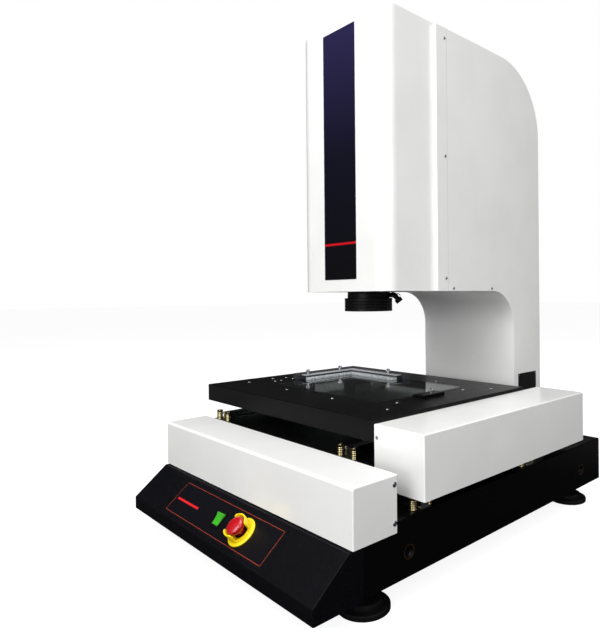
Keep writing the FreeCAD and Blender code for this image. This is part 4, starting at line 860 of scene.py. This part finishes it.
def makeSmallParts():
    q = smallShape
    dome = [(0, 0), (q["rivet"], 0), (q["rivet"], 0.2), (1.0, 0.6), (0.5, 0.8), (0, 0.85)]
    makePiece("plateRivets", [moved(turned(dome, 16), spot(q["plateFace"], y, z, alongX)) for y, z in q["plate"]],
              "bright_steel", "frame")
    pin = roundedBlock(2.2, 5.6, 12.0, 0.6, 0.5)
    makePiece("inletPins", [moved(pin, spot(x, 849.0, z, alongY)) for x, z in q["pins"]], "bright_steel", "frame")
    seams = []
    for side in (-1, 1):
        line = roundedBlock(0.12, q["seamWidth"], q["seamHigh"] - q["seamLow"], 0.05, 0.03, 2)
        seams.append(moved(line, spot(side * 141.97, q["seamAt"], q["seamLow"])))
    makePiece("columnSideSeams", seams, (seamShade, "white_paint"), "frame")
    t = np.linspace(0, 1, 9)
    glass = [(q["lens"] * k, 79.6 - 1.4 * k * k) for k in t] + [(q["lens"], 77.0), (0, 77.0)]
    makePiece("contourLightLens", [moved(turned(glass, 64), spot(0, 390, 135))], (whiteLens, "glass"), "frame")


makeInserts()
makeSmallParts()
print("inserts and small parts made")


# Ball screws: a rolled groove of 10 mm lead, and a split coupling on the motor's shaft
screwLead = {"radius": 8.0, "pitch": 10.0, "depth": 1.3, "coupling": 13.0, "couplingLength": 24.0, "edge": 0.6,
             "slit": 1.2, "slitDepth": 1.6, "shaft": 4.0}


def makeBallScrew(name, node, body, start, length, turn, couplingAt, shaftTo):
    g = screwLead
    place = spot(*start, turn)
    grids = threadedBar(g["radius"], g["pitch"], g["depth"], 0.0, length, 32, 20)
    r, edge, low, high = g["coupling"], g["edge"], couplingAt, couplingAt + g["couplingLength"]
    hub = [(0, low), (r - edge, low), (r, low + edge)]
    for z in (low + 10.2, low + 12.6):
        inside = r - g["slitDepth"]
        hub += [(r, z), (inside, z), (inside, z + g["slit"]), (r, z + g["slit"])]
    hub += [(r, high - edge), (r - edge, high), (0, high)]
    shaft = [(0, length), (g["shaft"], length), (g["shaft"], shaftTo), (0, shaftTo)]
    makePiece(name + "Thread", [moved(x, place) for x in grids + [turned(shaft, 20)]], "rail_steel", body, [node])
    makePiece(name + "Coupling", [moved(turned(hub, 48), place)], "plain_aluminium", body)


makeBallScrew("xScrew", "x_screw", "x_drive_screw", (196, 116, 168), 392.0, alongMinusX, 393.0, 438.0)
makeBallScrew("yScrew", "y_screw", "y_drive_screw", (265, 296, 221), 294.0, alongY, 295.0, 340.0)
makeBallScrew("zScrew", "z_screw", "z_drive_screw", (0, 455, 538), 367.0, Matrix(), 368.0, 413.0)
print("ball screws made")


# Carriage end caps: an upturned U of dark plastic with a wiper lip, on both ends of every block
capShape = {"half": 21.4, "low": 5.5, "top": 29.0, "slot": 10.8, "slotTop": 18.3, "thick": 1.2, "screw": 1.6,
            "xBlocks": ((-172, 8), (230, 550)), "yBlocks": ((-300.5, 136.5), (420, 628)), "end": 31.0}


def capGrids(place):
    # the U's outline is one closed loop; its faces are strips between the outer and the inner side of the U
    c = capShape
    outer = np.array([(-c["half"], c["low"]), (-c["half"], c["top"] - 2), (-c["half"] + 2, c["top"]),
                      (c["half"] - 2, c["top"]), (c["half"], c["top"] - 2), (c["half"], c["low"])])
    inner = np.array([(-c["slot"], c["low"]), (-c["slot"], c["slotTop"]), (-c["slot"], c["slotTop"]),
                      (c["slot"], c["slotTop"]), (c["slot"], c["slotTop"]), (c["slot"], c["low"])])
    rows, _, _ = flatBand(outer, inner, 0.0, c["thick"])
    ends = [np.stack([rows[[0, 3], k], rows[[1, 2], k]]) for k in (0, -1)]
    return [moved((rows, True, False), place)] + [moved((end, False, False), place) for end in ends]


def makeCarriageCaps():
    c = capShape
    head = socketHead(c["screw"], 0.9, 0.8, 0.6, 0.3, segments=16, low=c["thick"])
    for body, blocks, turns, z in (("saddle", c["xBlocks"], (alongX, alongMinusX), 135.0),
                                   ("table", c["yBlocks"], (alongY, alongMinusY), 190.0)):
        grids, screws = [], []
        for x in blocks[0]:
            for y in blocks[1]:
                for sign in (1, -1):
                    out = Vector((sign, 0, 0) if body == "saddle" else (0, sign, 0))
                    side = Vector((0, 0, 1)).cross(out)
                    face = Vector((x, y, z)) + out * c["end"]
                    basis = Matrix((side, Vector((0, 0, 1)), out)).transposed().to_4x4()
                    place = spot(face.x, face.y, face.z) @ basis
                    grids += capGrids(place)
                    screws += [moved(head, place @ at(dx, 24.0, 0)) for dx in (-16.0, 16.0)]
        makePiece(body + "CarriageCaps", grids, "black_plastic", body)
        makePiece(body + "CapScrews", screws, "bright_steel", body)


makeCarriageCaps()
print("carriage caps made")


# Zoom lens and camera: a turned barrel with its joints, a glass front, and a knurled zoom ring
lensShape = {"low": 450.0, "front": 17.0, "recess": 6.0, "narrow": 22.0, "wide": 27.0, "stepAt": 70.0, "top": 240.0,
             "ringLow": 110.0, "ringHigh": 136.0, "core": 23.0, "ring": 31.0, "knurls": 60, "knurl": 0.6}


def makeLens():
    n = lensShape
    place = spot(0, 390, n["low"])

    def joint(r, z):
        # a fine turned groove between two barrel pieces
        return [(r, z - 0.4), (r - 0.6, z), (r, z + 0.4)]

    w = n["wide"]
    profile = [(0, n["recess"]), (n["front"], n["recess"]), (n["front"], 0.8), (n["front"] + 0.8, 0),
               (n["narrow"] - 0.6, 0), (n["narrow"], 0.6)]
    profile += joint(n["narrow"], 44) + joint(n["narrow"], 58) + [(n["narrow"], n["stepAt"]), (w - 0.8, n["stepAt"]),
                                                               (w, n["stepAt"] + 0.8)]
    profile += joint(w, 84) + joint(w, 100) + [(w, n["ringLow"]), (n["core"], n["ringLow"]), (n["core"], n["ringHigh"]),
                                              (w, n["ringHigh"])]
    profile += joint(w, 160) + joint(w, 215) + [(w, n["top"]), (0, n["top"])]
    makePiece("zoomLensBarrel", [moved(turned(profile, 72), place)], "black_anodised", "z_head", ["zoom_lens"], 30)
    t = np.linspace(0, 1, 8)
    glass = [(n["front"] * k, 4.0 + 1.6 * k * k) for k in t] + [(n["front"], n["recess"]), (0, n["recess"])]
    makePiece("zoomLensFront", [moved(turned(glass, 48), place)], (lensGlass, "glass"), "z_head")
    segments = n["knurls"] * 4
    angle = np.linspace(0, 2 * np.pi, segments, endpoint=False)
    bite = n["knurl"] * (0.5 - 0.5 * np.cos(n["knurls"] * angle))
    r, low, high = n["ring"], n["ringLow"] + 0.3, n["ringHigh"] - 0.3
    levels = [(n["core"] + 0.05, low, 0), (r - 0.6, low, 0), (r, low + 0.6, 0), (r, low + 3, 0), (r, low + 3.6, 1),
              (r, high - 3.6, 1), (r, high - 3, 0), (r, high - 0.6, 0), (r - 0.6, high, 0), (n["core"] + 0.05, high, 0)]
    rows = np.stack([loopRow(radius - bite * share, z, segments) for radius, z, share in levels])
    makePiece("zoomRingKnurled", [moved((rows, True, True), place)], "black_anodised",
              "zoom_collar", ["zoom_ring"], 30)


makeLens()
print("lens made")


# Camera, lights and floor
view = {"focal": 561.90, "centreX": 375.0, "centreY": 296.2, "width": 600, "height": 628,
        "place": (0.91675, -0.88515, 0.4767), "yaw": 0.8023, "pitch": 0.0006, "roll": -0.0087}


def makeCamera():
    v = view
    ahead = Vector((-math.sin(v["yaw"]) * math.cos(v["pitch"]), math.cos(v["yaw"]) * math.cos(v["pitch"]),
                    -math.sin(v["pitch"])))
    right = Vector((math.cos(v["yaw"]), math.sin(v["yaw"]), 0))
    up = right.cross(ahead)
    c, s = math.cos(v["roll"]), math.sin(v["roll"])
    right, up = c * right + s * up, -s * right + c * up
    data = bpy.data.cameras.new("photoCamera")
    data.sensor_fit = "VERTICAL"
    data.sensor_height = 36.0
    data.lens = v["focal"] / v["height"] * data.sensor_height
    data.shift_x = -(v["centreX"] - v["width"] / 2) / v["height"]
    data.shift_y = -(v["height"] / 2 - v["centreY"]) / v["height"]
    data.clip_end = 100
    camera = bpy.data.objects.new("photoCamera", data)
    camera.matrix_world = Matrix((
        (right.x, up.x, -ahead.x, v["place"][0]), (right.y, up.y, -ahead.y, v["place"][1]),
        (right.z, up.z, -ahead.z, v["place"][2]), (0, 0, 0, 1)))
    bpy.context.scene.collection.objects.link(camera)
    bpy.context.scene.camera = camera


studio = {"bright": (0.62, -0.60, 0.50), "tentLow": 0.03, "tentHigh": 0.9, "from": -0.15, "to": 0.95,
          "floorSeen": "8c8c8c", "floorGlow": 0.88, "floorNear": "262626", "floorFar": "a8a8a8",
          "nearTo": 0.7, "farFrom": 2.4,
          "lamps": [
              ("frontKey", (0.45, -2.1, 1.95), (0, 0, 0.75), (1.6, 1.6), 37),
              ("lowFront", (0.7, -2.6, 0.6), (0.1, 0.2, 0.4), (1.2, 0.8), 13),
              ("topSoft", (-0.1, -0.2, 3.2), (0, 0, 0.3), (2.2, 2.2), 55),
              ("rightFill", (1.9, -0.4, 1.5), (0, 0, 0.75), (1.2, 1.4), 14),
              ("backFill", (-1.3, 3.0, 2.7), (0, 0, 0.6), (2.0, 1.6), 25)]}


def addArea(name, place, target, size, power, tint="ffffff"):
    data = bpy.data.lights.new(name, "AREA")
    data.shape = "RECTANGLE"
    data.size, data.size_y = size
    data.energy = power
    data.color = toLinear(tint)[:3]
    lamp = bpy.data.objects.new(name, data)
    lamp.location = place
    lamp.rotation_euler = (Vector(target) - Vector(place)).to_track_quat("-Z", "Y").to_euler()
    bpy.context.scene.collection.objects.link(lamp)


def makeStudio():
    # a white background, and a softer light tent: bright towards the front right and above, dim behind the machine
    world = bpy.data.worlds.new("paleStudio")
    world.use_nodes = True
    tree = world.node_tree
    output = next(n for n in tree.nodes if n.type == "OUTPUT_WORLD")
    seen = next(n for n in tree.nodes if n.type == "BACKGROUND")
    seen.inputs["Color"].default_value = (1, 1, 1, 1)
    where = addNode(tree, "ShaderNodeTexCoord")
    towards = addNode(tree, "ShaderNodeVectorMath", {"operation": "DOT_PRODUCT", 1: studio["bright"]},
                      {0: where.outputs["Generated"]})
    share = addNode(tree, "ShaderNodeMapRange", {
        "interpolation_type": "SMOOTHSTEP", "From Min": studio["from"], "From Max": studio["to"],
        "To Min": studio["tentLow"], "To Max": studio["tentHigh"]}, {"Value": towards.outputs["Value"]})
    tent = addNode(tree, "ShaderNodeBackground", None, {"Strength": share.outputs["Result"]})
    path = addNode(tree, "ShaderNodeLightPath")
    both = addNode(tree, "ShaderNodeMixShader", None, {"Fac": path.outputs["Is Camera Ray"],
                                                       1: tent.outputs["Background"], 2: seen.outputs["Background"]})
    tree.links.new(both.outputs["Shader"], output.inputs["Surface"])
    bpy.context.scene.world = world
    bpy.context.scene.view_settings.view_transform = "Standard"
    mesh = bpy.data.meshes.new("studioFloor")
    mesh.from_pydata([(-30, -30, 0), (30, -30, 0), (30, 30, 0), (-30, 30, 0)], [], [(0, 1, 2, 3)])
    floor = bpy.data.objects.new("studioFloor", mesh)
    material, tree, shader = startMaterial("paleFloor", {
        "Roughness": 0.9, "Specular IOR Level": 0.1, "Emission Color": (1, 1, 1, 1)})
    # seen pale all over; what it throws back on the machine is dim close by and pale further out
    where = addNode(tree, "ShaderNodeTexCoord")
    reach = addNode(tree, "ShaderNodeVectorMath", {"operation": "LENGTH"}, {0: where.outputs["Object"]})
    out = addNode(tree, "ShaderNodeMapRange", {"From Min": studio["nearTo"], "From Max": studio["farFrom"]},
                  {"Value": reach.outputs["Value"]})
    back = rampBetween(tree, out.outputs["Result"], [(0.0, studio["floorNear"]), (1.0, studio["floorFar"])])
    path = addNode(tree, "ShaderNodeLightPath")
    seen = addNode(tree, "ShaderNodeMix", {"data_type": "RGBA", 7: toLinear(studio["floorSeen"])},
                   {0: path.outputs["Is Camera Ray"], 6: back})
    tree.links.new(seen.outputs[2], shader.inputs["Base Color"])
    glow = addNode(tree, "ShaderNodeMath", {"operation": "MULTIPLY", 1: studio["floorGlow"]},
                   {0: path.outputs["Is Camera Ray"]})
    tree.links.new(glow.outputs["Value"], shader.inputs["Emission Strength"])
    mesh.materials.append(material)
    bpy.context.scene.collection.objects.link(floor)
    for name, place, target, size, power in studio["lamps"]:
        addArea(name, place, target, size, power)


makeCamera()
makeStudio()
print("camera, lights and floor set")
